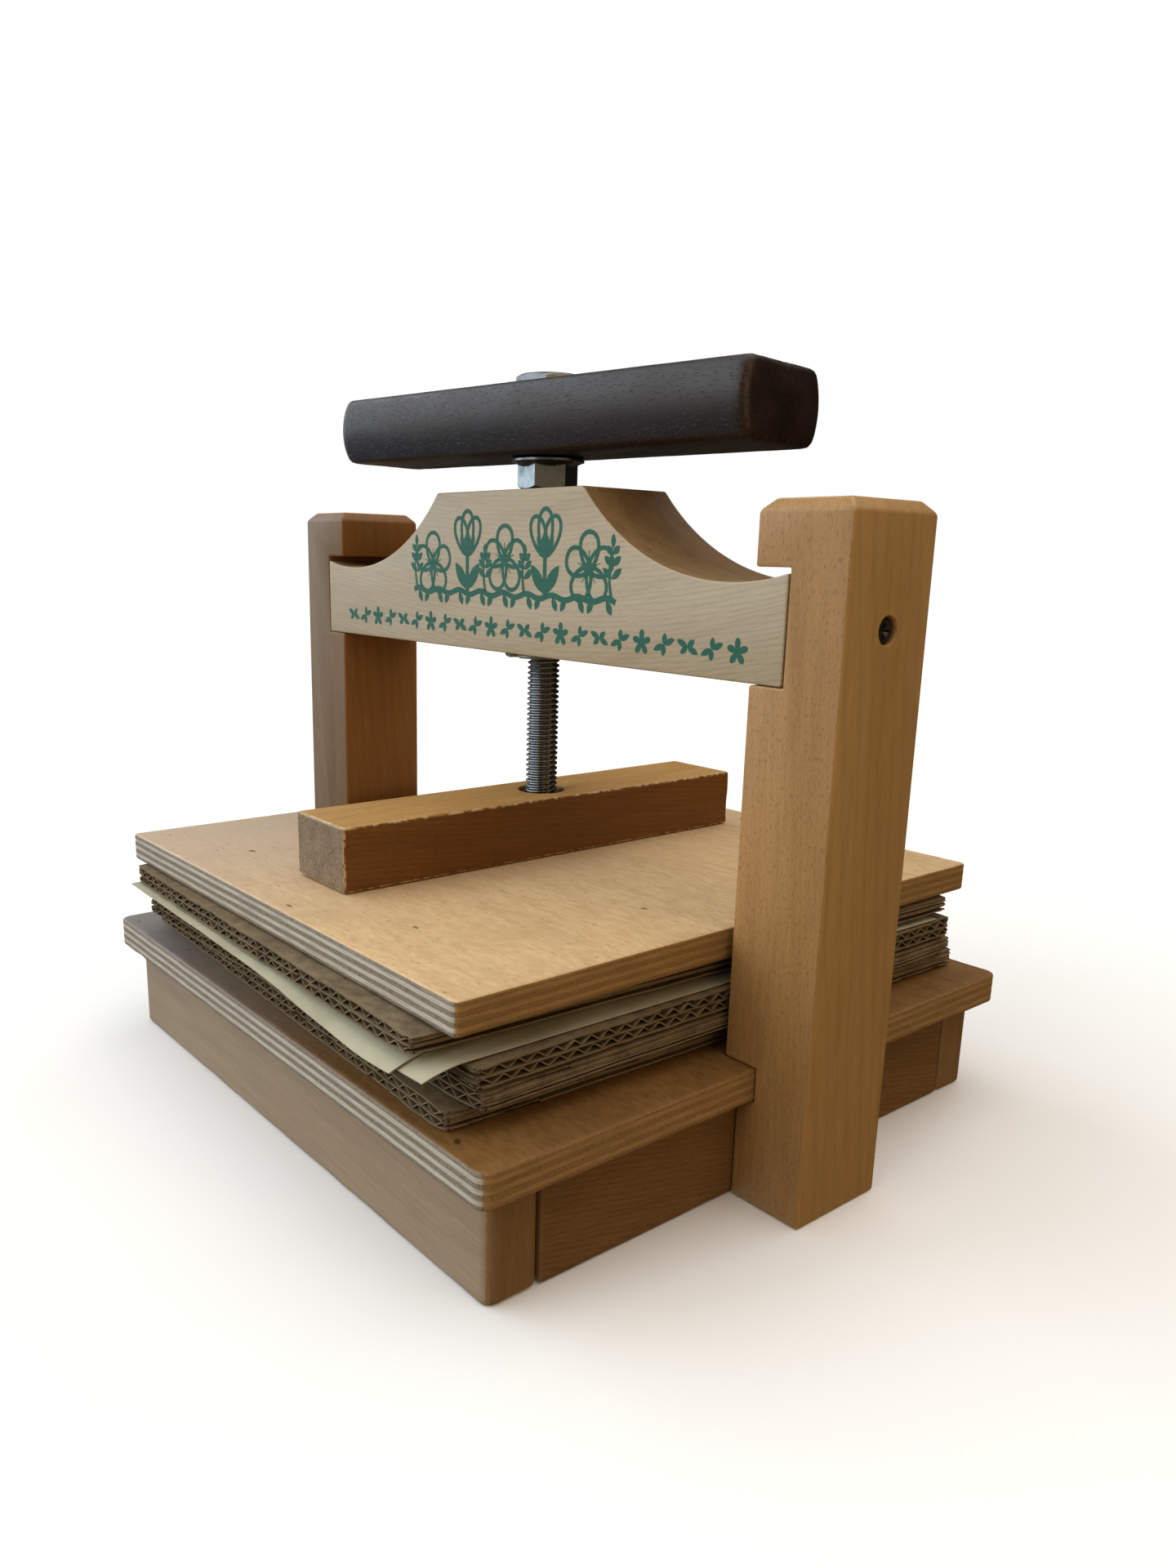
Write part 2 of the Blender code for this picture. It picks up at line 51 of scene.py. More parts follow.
HOME = Y * (SCREW_LOW.y + SCREW_HIGH.y) / 2  # every piece is modelled around the screw's axis, then put here


def box(node):
    """A CAD node's lowest and highest corners, measured from the screw's axis."""
    low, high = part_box(node)
    return low - HOME, high - HOME


# ---------------------------------------------------------------- finishes: the shared nodes


def shade(color, factor):
    """A colour made darker or lighter."""
    return tuple(min(1.0, c * factor) for c in color)


class Graph:
    """A node tree, with short calls for the nodes that the finishes and the room share."""

    def __init__(self, tree):
        self.tree = tree

    def node(self, kind, inputs=None, **settings):
        made = self.tree.nodes.new(kind)
        for key, value in settings.items():
            setattr(made, key, value)
        for key, value in (inputs or {}).items():
            self.put(made.inputs[key], value)
        return made

    def put(self, socket, value):
        if isinstance(value, bpy.types.NodeSocket):
            self.tree.links.new(value, socket)
        else:
            socket.default_value = value

    def ramp(self, value, low, high, start=0.0, end=1.0):
        """start below low, end above high, and a smooth change between."""
        inputs = {"Value": value, 1: low, 2: high, 3: start, 4: end}
        return self.node("ShaderNodeMapRange", inputs, interpolation_type="SMOOTHSTEP").outputs[0]

    def math(self, operation, *values):
        return self.node("ShaderNodeMath", dict(enumerate(values)), operation=operation).outputs[0]

    def times(self, a, b):
        return self.math("MULTIPLY", a, b)

    def plus(self, a, b):
        return self.math("ADD", a, b)

    def less(self, a, b):
        return self.math("SUBTRACT", a, b)

    def mix(self, share, a, b):
        """Colour a at share 0 and colour b at share 1."""
        a, b = (v if isinstance(v, bpy.types.NodeSocket) else (*v, 1.0) for v in (a, b))
        return self.node("ShaderNodeMix", {0: share, 6: a, 7: b}, data_type="RGBA").outputs[2]


class Finish(Graph):
    """A material's node graph."""

    def __init__(self, name, roughness=0.5, metallic=0.0, specular=0.5):
        self.material = bpy.data.materials.new(name)
        self.material.use_nodes = True
        super().__init__(self.material.node_tree)
        self.shader = self.tree.nodes["Principled BSDF"]
        self.shader.inputs["Roughness"].default_value = roughness
        self.shader.inputs["Metallic"].default_value = metallic
        self.shader.inputs["Specular IOR Level"].default_value = specular

    def coords(self, stretch=(1, 1, 1), turn=(0, 0, 0)):
        """Object coordinates, turned and then stretched."""
        source = self.node("ShaderNodeTexCoord").outputs["Object"]
        turned = self.node("ShaderNodeMapping", {"Vector": source, "Rotation": turn}).outputs[0]
        return self.node("ShaderNodeMapping", {"Vector": turned, "Scale": stretch}).outputs[0]

    def stretch(self, vector, scale):
        return self.node("ShaderNodeMapping", {"Vector": vector, "Scale": scale}).outputs[0]

    def axes(self, vector):
        return self.node("ShaderNodeSeparateXYZ", {0: vector}).outputs

    def bent(self, vector, start, bend):
        """Lets a pattern along X rise more and more to the right of a place."""
        x, y, z = self.axes(vector)
        past = self.math("MAXIMUM", self.less(x, start), 0.0)
        rise = self.times(self.times(past, past), bend)
        parts = {0: x, 1: y, 2: self.less(z, rise)}
        return self.node("ShaderNodeCombineXYZ", parts).outputs[0]

    def noise(self, vector, scale, detail=2.0, rough=0.5, distortion=0.0):
        inputs = {
            "Vector": vector,
            "Scale": scale,
            "Detail": detail,
            "Roughness": rough,
            "Distortion": distortion,
        }
        return self.node("ShaderNodeTexNoise", inputs).outputs["Fac"]

    def waves(self, vector, scale, distortion=0.0, detail=2.0, detail_scale=1.0, direction="X"):
        inputs = {
            "Vector": vector,
            "Scale": scale,
            "Distortion": distortion,
            "Detail": detail,
            "Detail Scale": detail_scale,
        }
        made = self.node("ShaderNodeTexWave", inputs, wave_type="BANDS", bands_direction=direction)
        return made.outputs["Fac"]

    def attribute(self, name):
        return self.node("ShaderNodeAttribute", attribute_name=name).outputs["Fac"]

    def height(self, value, depth):
        """Bump by value, where 1 stands depth metres over 0."""
        inputs = {"Height": value, "Distance": depth, "Strength": 1.0}
        last = self.shader.inputs["Normal"].links
        if last:
            inputs["Normal"] = last[0].from_socket
        made = self.node("ShaderNodeBump", inputs).outputs[0]
        self.tree.links.new(made, self.shader.inputs["Normal"])

    def color(self, value):
        self.put(self.shader.inputs["Base Color"], value)

    def rough(self, value):
        self.put(self.shader.inputs["Roughness"], value)


def along(grain, amount):
    """A stretch that draws a pattern out along one axis."""
    return tuple(amount if axis == grain else 1.0 for axis in "XYZ")


# ---------------------------------------------------------------- finishes: wood


def wood(
    name,
    light,
    dark,
    grain,
    lines=0.30,
    gap=2.2 * MM,
    dashes=0.45,
    dash=2.6 * MM,
    clouds=0.30,
    turn=(0, 0, 0),
    bend=None,
    wear=None,
    roughness=(0.45, 0.60),
):
    """Planed close-grained wood: fine growth lines, short dark rays and fibres along the grain."""
    f = Finish(name, specular=0.35)
    source = f.coords(turn=turn)
    if bend:
        source = f.bent(source, *bend)
    fibre = f.noise(f.stretch(source, along(grain, 0.035)), 1700, 3, 0.6)
    streak = f.noise(f.stretch(source, along(grain, 0.10)), 210, 4, 0.6, 0.3)
    patch = f.noise(f.stretch(source, along(grain, 0.4)), 26, 3, 0.5, 0.3)
    growth = f.waves(f.stretch(source, along(grain, 0.10)), 0.628 / gap, 5.0, 3, 0.8, "DIAGONAL")
    ray = f.noise(f.stretch(source, along(grain, 0.42 * MM / dash)), 2400, 1, 0.45)

    color = f.mix(f.ramp(patch, 0.35, 0.70, 0.0, clouds), light, dark)
    color = f.mix(f.ramp(streak, 0.35, 0.72, 0.0, 0.55), color, dark)
    color = f.mix(f.ramp(growth, 0.55, 0.98, 0.0, lines), color, shade(dark, 0.62))
    ray_dark = f.ramp(ray, 0.54, 0.70, 0.0, dashes)
    color = f.mix(ray_dark, color, shade(dark, 0.66))
    color = f.mix(f.ramp(fibre, 0.45, 0.75, 0.0, 0.35), color, shade(light, 1.22))
    if wear is not None:
        rub = f.noise(source, 420, 4, 0.65)
        worn = f.times(f.attribute("wear"), f.ramp(rub, 0.42, 0.60))
        color = f.mix(worn, color, wear)
    f.color(color)
    f.rough(f.ramp(fibre, 0.3, 0.7, roughness[0], roughness[1]))
    f.height(fibre, 0.00004)
    f.height(f.times(ray_dark, -1.0), 0.00006)
    return f.material


def end_grain(name, light, dark, wear=None):
    """Sawn end grain: a dense speckle of dark pores and pale fibres."""
    f = Finish(name, roughness=0.75, specular=0.25)
    pores = f.noise(f.coords(turn=(0.3, 0.5, 0.2)), 1500, 2, 0.6)
    pale = f.noise(f.coords((1, 1, 0.5)), 1900, 2, 0.6)
    clouds = f.noise(f.coords(), 140, 4, 0.6)
    color = f.mix(f.ramp(clouds, 0.35, 0.7), light, dark)
    color = f.mix(f.ramp(pale, 0.52, 0.66, 0.0, 0.5), color, shade(light, 1.25))
    color = f.mix(f.ramp(pores, 0.54, 0.66, 0.0, 0.75), color, shade(dark, 0.42))
    if wear is not None:
        worn = f.times(f.attribute("wear"), f.ramp(pale, 0.40, 0.55))
        color = f.mix(worn, color, wear)
    f.color(color)
    f.height(pores, 0.00015)
    return f.material


def ply_edge(name, bottom, thickness, slope, cream, brown, contrast, wobble=0.00025):
    """The seven plies of a board's edge, by height. Every other ply shows its end grain."""
    f = Finish(name, roughness=0.70, specular=0.25)
    source = f.coords()
    x, _, z = f.axes(source)
    z = f.plus(z, f.times(f.less(LEVEL_X, x), slope))
    drift = f.times(f.less(f.noise(source, 45, 2), 0.5), wobble)
    level = f.times(f.less(f.plus(z, drift), bottom), PLIES / thickness)
    half_turn = f.times(level, math.pi)
    side = f.math("SINE", half_turn)
    dark = f.ramp(side, -0.20, 0.20, 0.0, contrast)
    glue = f.math("ABSOLUTE", side)
    glue_line = f.ramp(glue, 0.05, 0.28, 0.35, 0.0)

    pores = f.noise(source, 1500, 3, 0.7)
    fibre = f.noise(f.coords((0.05, 0.05, 1.0)), 2000, 3, 0.6)
    cream_wood = f.mix(f.ramp(fibre, 0.35, 0.7), cream, shade(cream, 0.72))
    cream_wood = f.mix(f.ramp(pores, 0.58, 0.72, 0.0, 0.4), cream_wood, brown)
    brown_wood = f.mix(f.ramp(pores, 0.42, 0.66), brown, shade(brown, 0.50))
    color = f.mix(dark, cream_wood, brown_wood)
    color = f.mix(glue_line, color, shade(brown, 0.55))
    smudge = f.ramp(f.noise(source, 60, 4, 0.6), 0.52, 0.78, 0.0, 0.28)
    color = f.mix(smudge, color, shade(brown, 0.7))
    f.color(color)
    f.height(pores, 0.00008)
    return f.material


def board_face(name, light, dark, painted_shade_grey):
    """A sanded face veneer: fine mottled fibres along X, dark flecks, and a painted shade that greys it
    towards the left.
    """
    f = Finish(name, specular=0.3)
    source = f.coords()
    mottle = f.noise(f.coords((0.40, 1, 1)), 520, 4, 0.7)
    streak = f.noise(f.coords((0.10, 1, 1)), 260, 3, 0.6, 0.3)
    clouds = f.noise(source, 26, 4, 0.55, 0.6)
    fleck = f.noise(f.coords((0.45, 1, 1)), 760, 1, 0.4)
    knot = f.noise(f.coords((0.6, 1, 1)), 210, 1, 0.3)
    color = f.mix(f.ramp(mottle, 0.30, 0.72), light, dark)
    color = f.mix(f.ramp(streak, 0.45, 0.75, 0.0, 0.35), color, shade(dark, 0.80))
    color = f.mix(f.ramp(clouds, 0.40, 0.72, 0.0, 0.40), color, shade(dark, 0.78))
    # painted shade: the face turns greyer towards the left, where it lies in cool shade
    left = f.ramp(f.axes(source)[0], -0.10, 0.07, 0.75, 0.0)
    color = f.mix(f.times(left, f.ramp(clouds, 0.2, 0.5, 0.6, 1.0)), color, painted_shade_grey)
    color = f.mix(f.ramp(fleck, 0.68, 0.75, 0.0, 0.45), color, shade(dark, 0.45))
    color = f.mix(f.ramp(knot, 0.77, 0.80, 0.0, 0.85), color, shade(dark, 0.25))
    f.color(color)
    f.rough(f.ramp(clouds, 0.3, 0.7, 0.48, 0.62))
    f.height(mottle, 0.00006)
    return f.material


def dark_handle(name, stain, high, worn):
    """Dark stained close-grained wood: thin black cracks along X, lighter flecks at its pores that are
    painted glints of its sheen, light where its ends are rubbed.
    """
    f = Finish(name, specular=0.40)
    crack = f.noise(f.coords((0.13, 1, 1)), 2300, 2, 0.5)
    pore_and_glint = f.noise(f.coords((0.3, 1, 1)), 3000, 2, 0.5)
    cloud = f.noise(f.coords((0.3, 1, 1)), 70, 4, 0.6)
    rub = f.noise(f.coords(), 520, 4, 0.65)
    color = f.mix(f.ramp(cloud, 0.3, 0.7), stain, high)
    cracked = f.ramp(crack, 0.60, 0.67, 0.0, 0.9)
    color = f.mix(cracked, color, shade(stain, 0.12))
    # painted glints: lighter flecks at the pores stand in for the speckled sheen
    color = f.mix(f.ramp(pore_and_glint, 0.60, 0.70, 0.0, 0.5), color, shade(high, 2.4))
    scratch = f.times(f.attribute("wear"), f.ramp(rub, 0.50, 0.58))
    color = f.mix(scratch, color, worn)
    f.color(color)
    f.rough(f.ramp(f.plus(cloud, f.times(pore_and_glint, 0.4)), 0.45, 0.95, 0.34, 0.52))
    f.height(f.times(cracked, -1.0), 0.00010)
    f.height(pore_and_glint, 0.00003)
    return f.material


# ---------------------------------------------------------------- finishes: metal, board, paper, ink


def steel(name, color, roughness, tarnish):
    """Plated steel, brighter and duller in patches, with fine scratches and a little grime."""
    f = Finish(name, metallic=1.0)
    scratch = f.noise(f.coords((1, 1, 0.05)), 2400, 2, 0.6)
    patch = f.noise(f.coords(), 330, 4, 0.6)
    tone = f.mix(f.ramp(patch, 0.50, 0.78, 0.0, 0.40), color, tarnish)
    f.color(f.mix(f.ramp(scratch, 0.4, 0.7, 0.0, 0.15), tone, shade(color, 0.6)))
    f.rough(f.ramp(patch, 0.3, 0.7, roughness, roughness + 0.14))
    f.height(scratch, 0.00001)
    return f.material


def card_liner(name, light, dark):
    """Kraft liner: mottled fibres, and frayed edges."""
    f = Finish(name, roughness=0.9, specular=0.15)
    fibre = f.noise(f.coords(), 900, 4, 0.7)
    mottle = f.noise(f.coords(), 120, 5, 0.6)
    color = f.mix(f.ramp(mottle, 0.3, 0.7), light, dark)
    color = f.mix(f.ramp(fibre, 0.5, 0.7, 0.0, 0.5), color, shade(dark, 0.6))
    frayed = f.times(f.attribute("wear"), f.ramp(fibre, 0.35, 0.6))
    color = f.mix(frayed, color, shade(light, 0.85))
    f.color(color)
    f.height(fibre, 0.00010)
    return f.material


def paper_finish(name, light, dark):
    """Soft blotting paper: a cloudy felted surface with fine fibres."""
    f = Finish(name, roughness=0.95, specular=0.1)
    fibre = f.noise(f.coords(), 1500, 4, 0.7)
    cloud = f.noise(f.coords(), 35, 4, 0.6)
    color = f.mix(f.ramp(cloud, 0.35, 0.7), light, dark)
    color = f.mix(f.ramp(fibre, 0.55, 0.75, 0.0, 0.25), color, shade(dark, 0.7))
    f.color(color)
    f.height(fibre, 0.00006)
    return f.material


def ink(name, color):
    """Screen-printed ink, thin enough to let the wood's fibres through."""
    f = Finish(name, specular=0.3)
    fibre = f.noise(f.coords((0.05, 1, 1)), 1300, 3, 0.6)
    cover = f.ramp(fibre, 0.56, 0.74, 0.0, 0.5)
    f.color(f.mix(cover, color, tuple(min(1, c * 1.9 + 0.02) for c in color)))
    f.rough(f.ramp(fibre, 0.3, 0.7, 0.5, 0.7))
    f.height(fibre, 0.00004)
    return f.material


def floor_finish(name):
    f = Finish(name, roughness=0.9, specular=0.1)
    f.color(f.mix(f.noise(f.coords(), 3, 2), (0.95, 0.95, 0.95), (0.98, 0.98, 0.98)))
    return f.material


# ---------------------------------------------------------------- mesh building


def solid(name, bm, materials, body, replaces=(), angle=35):
    """Turns a bmesh into a piece that rides on a body and stands for CAD nodes."""
    bmesh.ops.recalc_face_normals(bm, faces=bm.faces)
    mesh = bpy.data.meshes.new(name)
    bm.to_mesh(mesh)
    bm.free()
    mesh.shade_smooth()
    mesh.set_sharp_from_angle(angle=math.radians(angle))
    for finish in materials:
        mesh.materials.append(finish)
    made = bpy.data.objects.new(name, mesh)
    made.location = HOME
    SCENE.collection.objects.link(made)
    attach(made, body)
    if replaces:
        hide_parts(*replaces)
    return made


def cut(piece, bm, angle=35):
    """Takes a closed shape away from a piece, for good."""
    bmesh.ops.recalc_face_normals(bm, faces=bm.faces)
    mesh = bpy.data.meshes.new("cutter")
    bm.to_mesh(mesh)
    bm.free()
    tool = bpy.data.objects.new("cutter", mesh)
    tool.location = HOME
    SCENE.collection.objects.link(tool)
    modifier = piece.modifiers.new("cut", "BOOLEAN")
    modifier.object = tool
    modifier.operation = "DIFFERENCE"
    modifier.solver = "EXACT"
    depsgraph = bpy.context.evaluated_depsgraph_get()
    result = bpy.data.meshes.new_from_object(piece.evaluated_get(depsgraph))
    piece.modifiers.clear()
    piece.data = result
    bpy.data.objects.remove(tool)
    result.shade_smooth()
    result.set_sharp_from_angle(angle=math.radians(angle))


def wander(point, scale, seed=0.0):
    """Smooth noise from -1 to 1."""
    return noise.noise(Vector(point) * scale + Vector((seed, seed * 1.7, seed * 0.6)))


def stops(low, high, radius, cell, fade):
    """Grid lines along one side of a block: close in its rounded edges, wide on its faces."""
    turn = [radius * (1 - math.tan(math.radians(a))) for a in (45, 30, 15, 0)]
    near = turn + [radius + step for step in fade]
    first, last = low + near[-1], high - near[-1]
    count = max(1, round((last - first) / cell))
    middle = [first + (last - first) * i / count for i in range(1, count)]
    return [low + d for d in near] + middle + [high - d for d in reversed(near)]


def rounded_block(low, high, radius=0.0008, cell=0.006, dents=0.0, seed=0.0, fade=(0.0012,)):
    """A block with rounded, slightly dented edges, on a grid. wear is 1 on its edges.
    Faces across X, Y and Z have material 0, 1 and 2."""
    low, high = Vector(low), Vector(high)
    lines = [stops(low[a], high[a], radius, cell, fade) for a in range(3)]
    inner_low, inner_high = low + Vector((radius,) * 3), high - Vector((radius,) * 3)
    bm = bmesh.new()
    wear = bm.verts.layers.float.new("wear")
    made = {}

    def vert(*index):
        if index in made:
            return made[index]
        p = Vector([lines[a][index[a]] for a in range(3)])
        inner = Vector([min(max(p[a], inner_low[a]), inner_high[a]) for a in range(3)])
        out = p - inner
        on_edge = sum(abs(c) > radius * 0.2 for c in out) >= 2
        direction = out.normalized()
        depth = dents * max(0.0, wander(inner, 160, seed) - 0.1) if on_edge else 0.0
        v = bm.verts.new(inner + direction * (radius - depth))
        v[wear] = 1.0 if on_edge else 0.0
        made[index] = v
        return v

    last = [len(line) - 1 for line in lines]
    for axis in range(3):
        b, c = (axis + 1) % 3, (axis + 2) % 3
        for end in (0, last[axis]):
            for i in range(last[b]):
                for k in range(last[c]):
                    corners = []
                    for di, dk in ((0, 0), (1, 0), (1, 1), (0, 1)):
                        index = [0, 0, 0]
                        index[axis], index[b], index[c] = end, i + di, k + dk
                        corners.append(vert(*index))
                    bm.faces.new(corners).material_index = axis
    return bm


def revolve(rings, steps, place=None):
    """A closed solid around Z. A ring is (radius, height), or a function of the angle that gives it."""
    bm = bmesh.new()
    angles = [2 * math.pi * i / steps for i in range(steps)]
    built = []
    for ring in rings:
        spots = [ring(a) if callable(ring) else ring for a in angles]
        if max(r for r, _ in spots) == 0:
            built.append([bm.verts.new((0, 0, spots[0][1]))] * steps)
            continue
        built.append(
            [bm.verts.new((r * math.cos(a), r * math.sin(a), z)) for a, (r, z) in zip(angles, spots)]
        )
    pairs = list(zip(built, built[1:]))
    if built[0][0] is not built[0][1]:
        pairs.append((built[-1], built[0]))
    for lower, upper in pairs:
        for i in range(steps):
            k = (i + 1) % steps
            bm.faces.new(dict.fromkeys((lower[i], lower[k], upper[k], upper[i])))
    if place is not None:
        bm.transform(place)
    return bm


def threaded_rod(radius, depth, pitch, start, end, tip=0.0, steps=32):
    """A helical thread around Z. One turn's last row meets the next turn's first row."""
    shape = ((0.0, 0.0), (0.10, 0.08), (0.38, 0.92), (0.50, 1.0), (0.62, 0.92), (0.90, 0.08))
    total = int((end - start) / pitch - 1) * steps
    bm = bmesh.new()
    rows = []
    for i in range(total + 1):
        angle = 2 * math.pi * i / steps
        column = []
        for share, rise in shape:
            z = start + pitch * (i / steps + share)
            r = radius - depth * (1 - rise)
            if tip:
                r *= min(1.0, 0.15 + 0.85 * (z - start) / tip)
            column.append(bm.verts.new((r * math.cos(angle), r * math.sin(angle), z)))
        rows.append(column)
    last = len(shape) - 1
    for i in range(total):
        for r in range(last):
            bm.faces.new((rows[i][r], rows[i + 1][r], rows[i + 1][r + 1], rows[i][r + 1]))
        if i + 1 + steps <= total:
            bm.faces.new((rows[i][last], rows[i + 1][last], rows[i + 1 + steps][0], rows[i + steps][0]))
    bottom = [rows[i][0] for i in range(steps + 1)] + [rows[0][r] for r in range(last, 0, -1)]
    top = [rows[i][last] for i in range(total - steps, total + 1)]
    top += [rows[total][r] for r in range(last - 1, -1, -1)]
    for loop, height in ((bottom, start), (top, start + pitch * (total / steps + 1))):
        centre = bm.verts.new((0, 0, height))
        for i in range(len(loop)):
            bm.faces.new((loop[i - 1], loop[i], centre))
    return bm


def add(bm, other):
    """Copies another bmesh into this one and frees it."""
    mesh = bpy.data.meshes.new("part")
    other.to_mesh(mesh)
    other.free()
    bm.from_mesh(mesh)
    bpy.data.meshes.remove(mesh)


def arc(centre, radius, start, end, count):
    angles = [start + (end - start) * i / count for i in range(count + 1)]
    return [(centre[0] + radius * math.cos(a), centre[1] + radius * math.sin(a)) for a in angles]


def profile_block(outline, y_low, y_high, rounding, sharp=25, top_chamfer=None):
    """An outline in X and Z carried along Y, with eased edges."""
    bm = bmesh.new()
    face = bm.faces.new([bm.verts.new((x, y_low, z)) for x, z in outline])
    grown = bmesh.ops.extrude_face_region(bm, geom=[face])["geom"]
    moved = [v for v in grown if isinstance(v, bmesh.types.BMVert)]
    bmesh.ops.translate(bm, vec=(0, y_high - y_low, 0), verts=moved)
    bmesh.ops.recalc_face_normals(bm, faces=bm.faces)
    if top_chamfer:
        top_z = max(v.co.z for v in bm.verts) - MM / 10
        top = [e for e in bm.edges if all(v.co.z > top_z for v in e.verts)]
        bmesh.ops.bevel(bm, geom=top, offset=top_chamfer, segments=1, profile=0.5, affect="EDGES")
    edges = [e for e in bm.edges if e.calc_face_angle(0) > math.radians(sharp)]
    bmesh.ops.bevel(
        bm, geom=edges, offset=rounding, segments=3, profile=0.5, affect="EDGES", clamp_overlap=True
    )
    return bm


def shell(bm, grid, thickness, wear_rows=2):
    """A closed thin sheet around a grid of points, thick along the grid's normals."""
    rows, columns = len(grid), len(grid[0])
    layer = bm.verts.layers.float.get("wear") or bm.verts.layers.float.new("wear")
    sides = ([], [])
    for r in range(rows):
        line = ([], [])
        for c in range(columns):
            du = grid[r][min(c + 1, columns - 1)] - grid[r][max(c - 1, 0)]
            dv = grid[min(r + 1, rows - 1)][c] - grid[max(r - 1, 0)][c]
            normal = du.cross(dv).normalized()
            edge = min(r, rows - 1 - r) < wear_rows or min(c, columns - 1 - c) < wear_rows
            for side, sign in ((0, -0.5), (1, 0.5)):
                v = bm.verts.new(grid[r][c] + normal * (thickness * sign))
                v[layer] = 1.0 if edge else 0.0
                line[side].append(v)
        sides[0].append(line[0])
        sides[1].append(line[1])
    for side in sides:
        for r in range(rows - 1):
            for c in range(columns - 1):
                bm.faces.new((side[r][c], side[r][c + 1], side[r + 1][c + 1], side[r + 1][c]))
    rims = [
        [*s[0], *[row[-1] for row in s[1:]], *s[-1][-2::-1], *[row[0] for row in s[-2:0:-1]]]
        for s in sides
    ]
    for i in range(len(rims[0])):
        bm.faces.new((rims[0][i - 1], rims[0][i], rims[1][i], rims[1][i - 1]))


# ---------------------------------------------------------------- boards and rails

# the pile under the screw has settled: it is level along Y and falls towards -X
LEVEL_X, PILE_WIDTH = 0.1020, 0.2010
BOARD_SLOPE = 0.0014 / PILE_WIDTH


def round_corners(bm, low, high, radius):
    """Rounds a block's four upright corners, seen from above."""
    middle = (low + high) / 2
    reach = (high - low) / 2
    for v in bm.verts:
        off = [abs(v.co[a] - middle[a]) - (reach[a] - radius) for a in (0, 1)]
        if min(off) <= 0:
            continue
        share = max(off) / math.hypot(*off)
        for a in (0, 1):
            side = math.copysign(1, v.co[a] - middle[a])
            v.co[a] = middle[a] + side * (reach[a] - radius + off[a] * share)


def plywood_board(node, body, finishes, seed, thickness, slope, corner):
    """A board of seven plies, whose edges step in and out a little from ply to ply."""
    low, high = box(node)
    low.z = high.z - thickness
    bm = rounded_block(
        low, high, radius=0.8 * MM, cell=5 * MM, dents=0.5 * MM, seed=seed, fade=(1.2 * MM, 2.6 * MM, 4 * MM)
    )
    for v in bm.verts:
        level = (v.co.z - low.z) / thickness * PLIES
        sunk = 0.00006 if int(level) % 2 else 0.0
        for axis in (0, 1):
            if v.co[axis] < low[axis] + MM / 10:
                v.co[axis] += sunk
            if v.co[axis] > high[axis] - MM / 10:
                v.co[axis] -= sunk
    round_corners(bm, low, high, corner)
    for v in bm.verts:
        v.co.z -= slope * (LEVEL_X - v.co.x)
    solid(node + "_plies", bm, finishes, body, [node])


def make_boards():
    cream, brown = (0.60, 0.535, 0.42), (0.235, 0.182, 0.135)
    tan, tan_dark = (0.40, 0.235, 0.090), (0.25, 0.138, 0.048)
    # the third colour of each face is the painted shade that greys its left part
    base_face = ((0.27, 0.140, 0.043), (0.185, 0.092, 0.026), (0.24, 0.235, 0.235))
    top_face = ((0.72, 0.51, 0.28), (0.58, 0.38, 0.185), (0.50, 0.40, 0.31))
    for node, body, seed, face, thickness, slope, corner in (
        ("base_board", "frame", 3.0, base_face, 9.8 * MM, 0.0, 4.0 * MM),
        ("top_board", "top_board", 8.0, top_face, 9.0 * MM, BOARD_SLOPE, 2.0 * MM),
    ):
        bottom = box(node)[1].z - thickness
        finishes = [
            ply_edge(node + " side edge", bottom, thickness, slope, tan, tan_dark, 0.60),
            ply_edge(node + " front edge", bottom, thickness, slope, cream, brown, 0.85),
            board_face(node + " face", *face),
        ]
        plywood_board(node, body, finishes, seed, thickness, slope, corner)


def make_rails():
    side = wood("rail side", (0.22, 0.115, 0.038), (0.15, 0.075, 0.024), "Y", gap=1.6 * MM, turn=(0.12, 0, 0))
    front = wood("rail front", (0.37, 0.265, 0.165), (0.28, 0.19, 0.108), "X", lines=0.10, dashes=0.15)
    end = wood("rail end", (0.255, 0.150, 0.062), (0.19, 0.106, 0.040), "Z", lines=0.10, dashes=0.2)
    for node in ("front_rail", "back_rail"):
        low, high = box(node)
        bm = rounded_block(low, high, radius=1.0 * MM, cell=8 * MM, dents=0.5 * MM, seed=len(node),
                           fade=(1.2 * MM, 2.6 * MM))
        round_corners(bm, low, high, 3 * MM)
        solid(node + "_wood", bm, [end, front, front], "frame", [node])
    for node in ("left_rail", "right_rail"):
        bm = rounded_block(*box(node), radius=0.4 * MM, cell=8 * MM, dents=0.2 * MM, seed=len(node))
        solid(node + "_wood", bm, [side, end, side], "frame", [node])


# ---------------------------------------------------------------- uprights and crossbeam

HOOK_Z = 0.1730
TOP_CHAMFER = 0.003
SHOULDER_R, SHOULDER_X, SHOULDER_Z, BEAM_FLAT = 0.0774, 0.0950, 0.2464, 0.0373
LEFT_SHOULDER_OUT = 0.0013


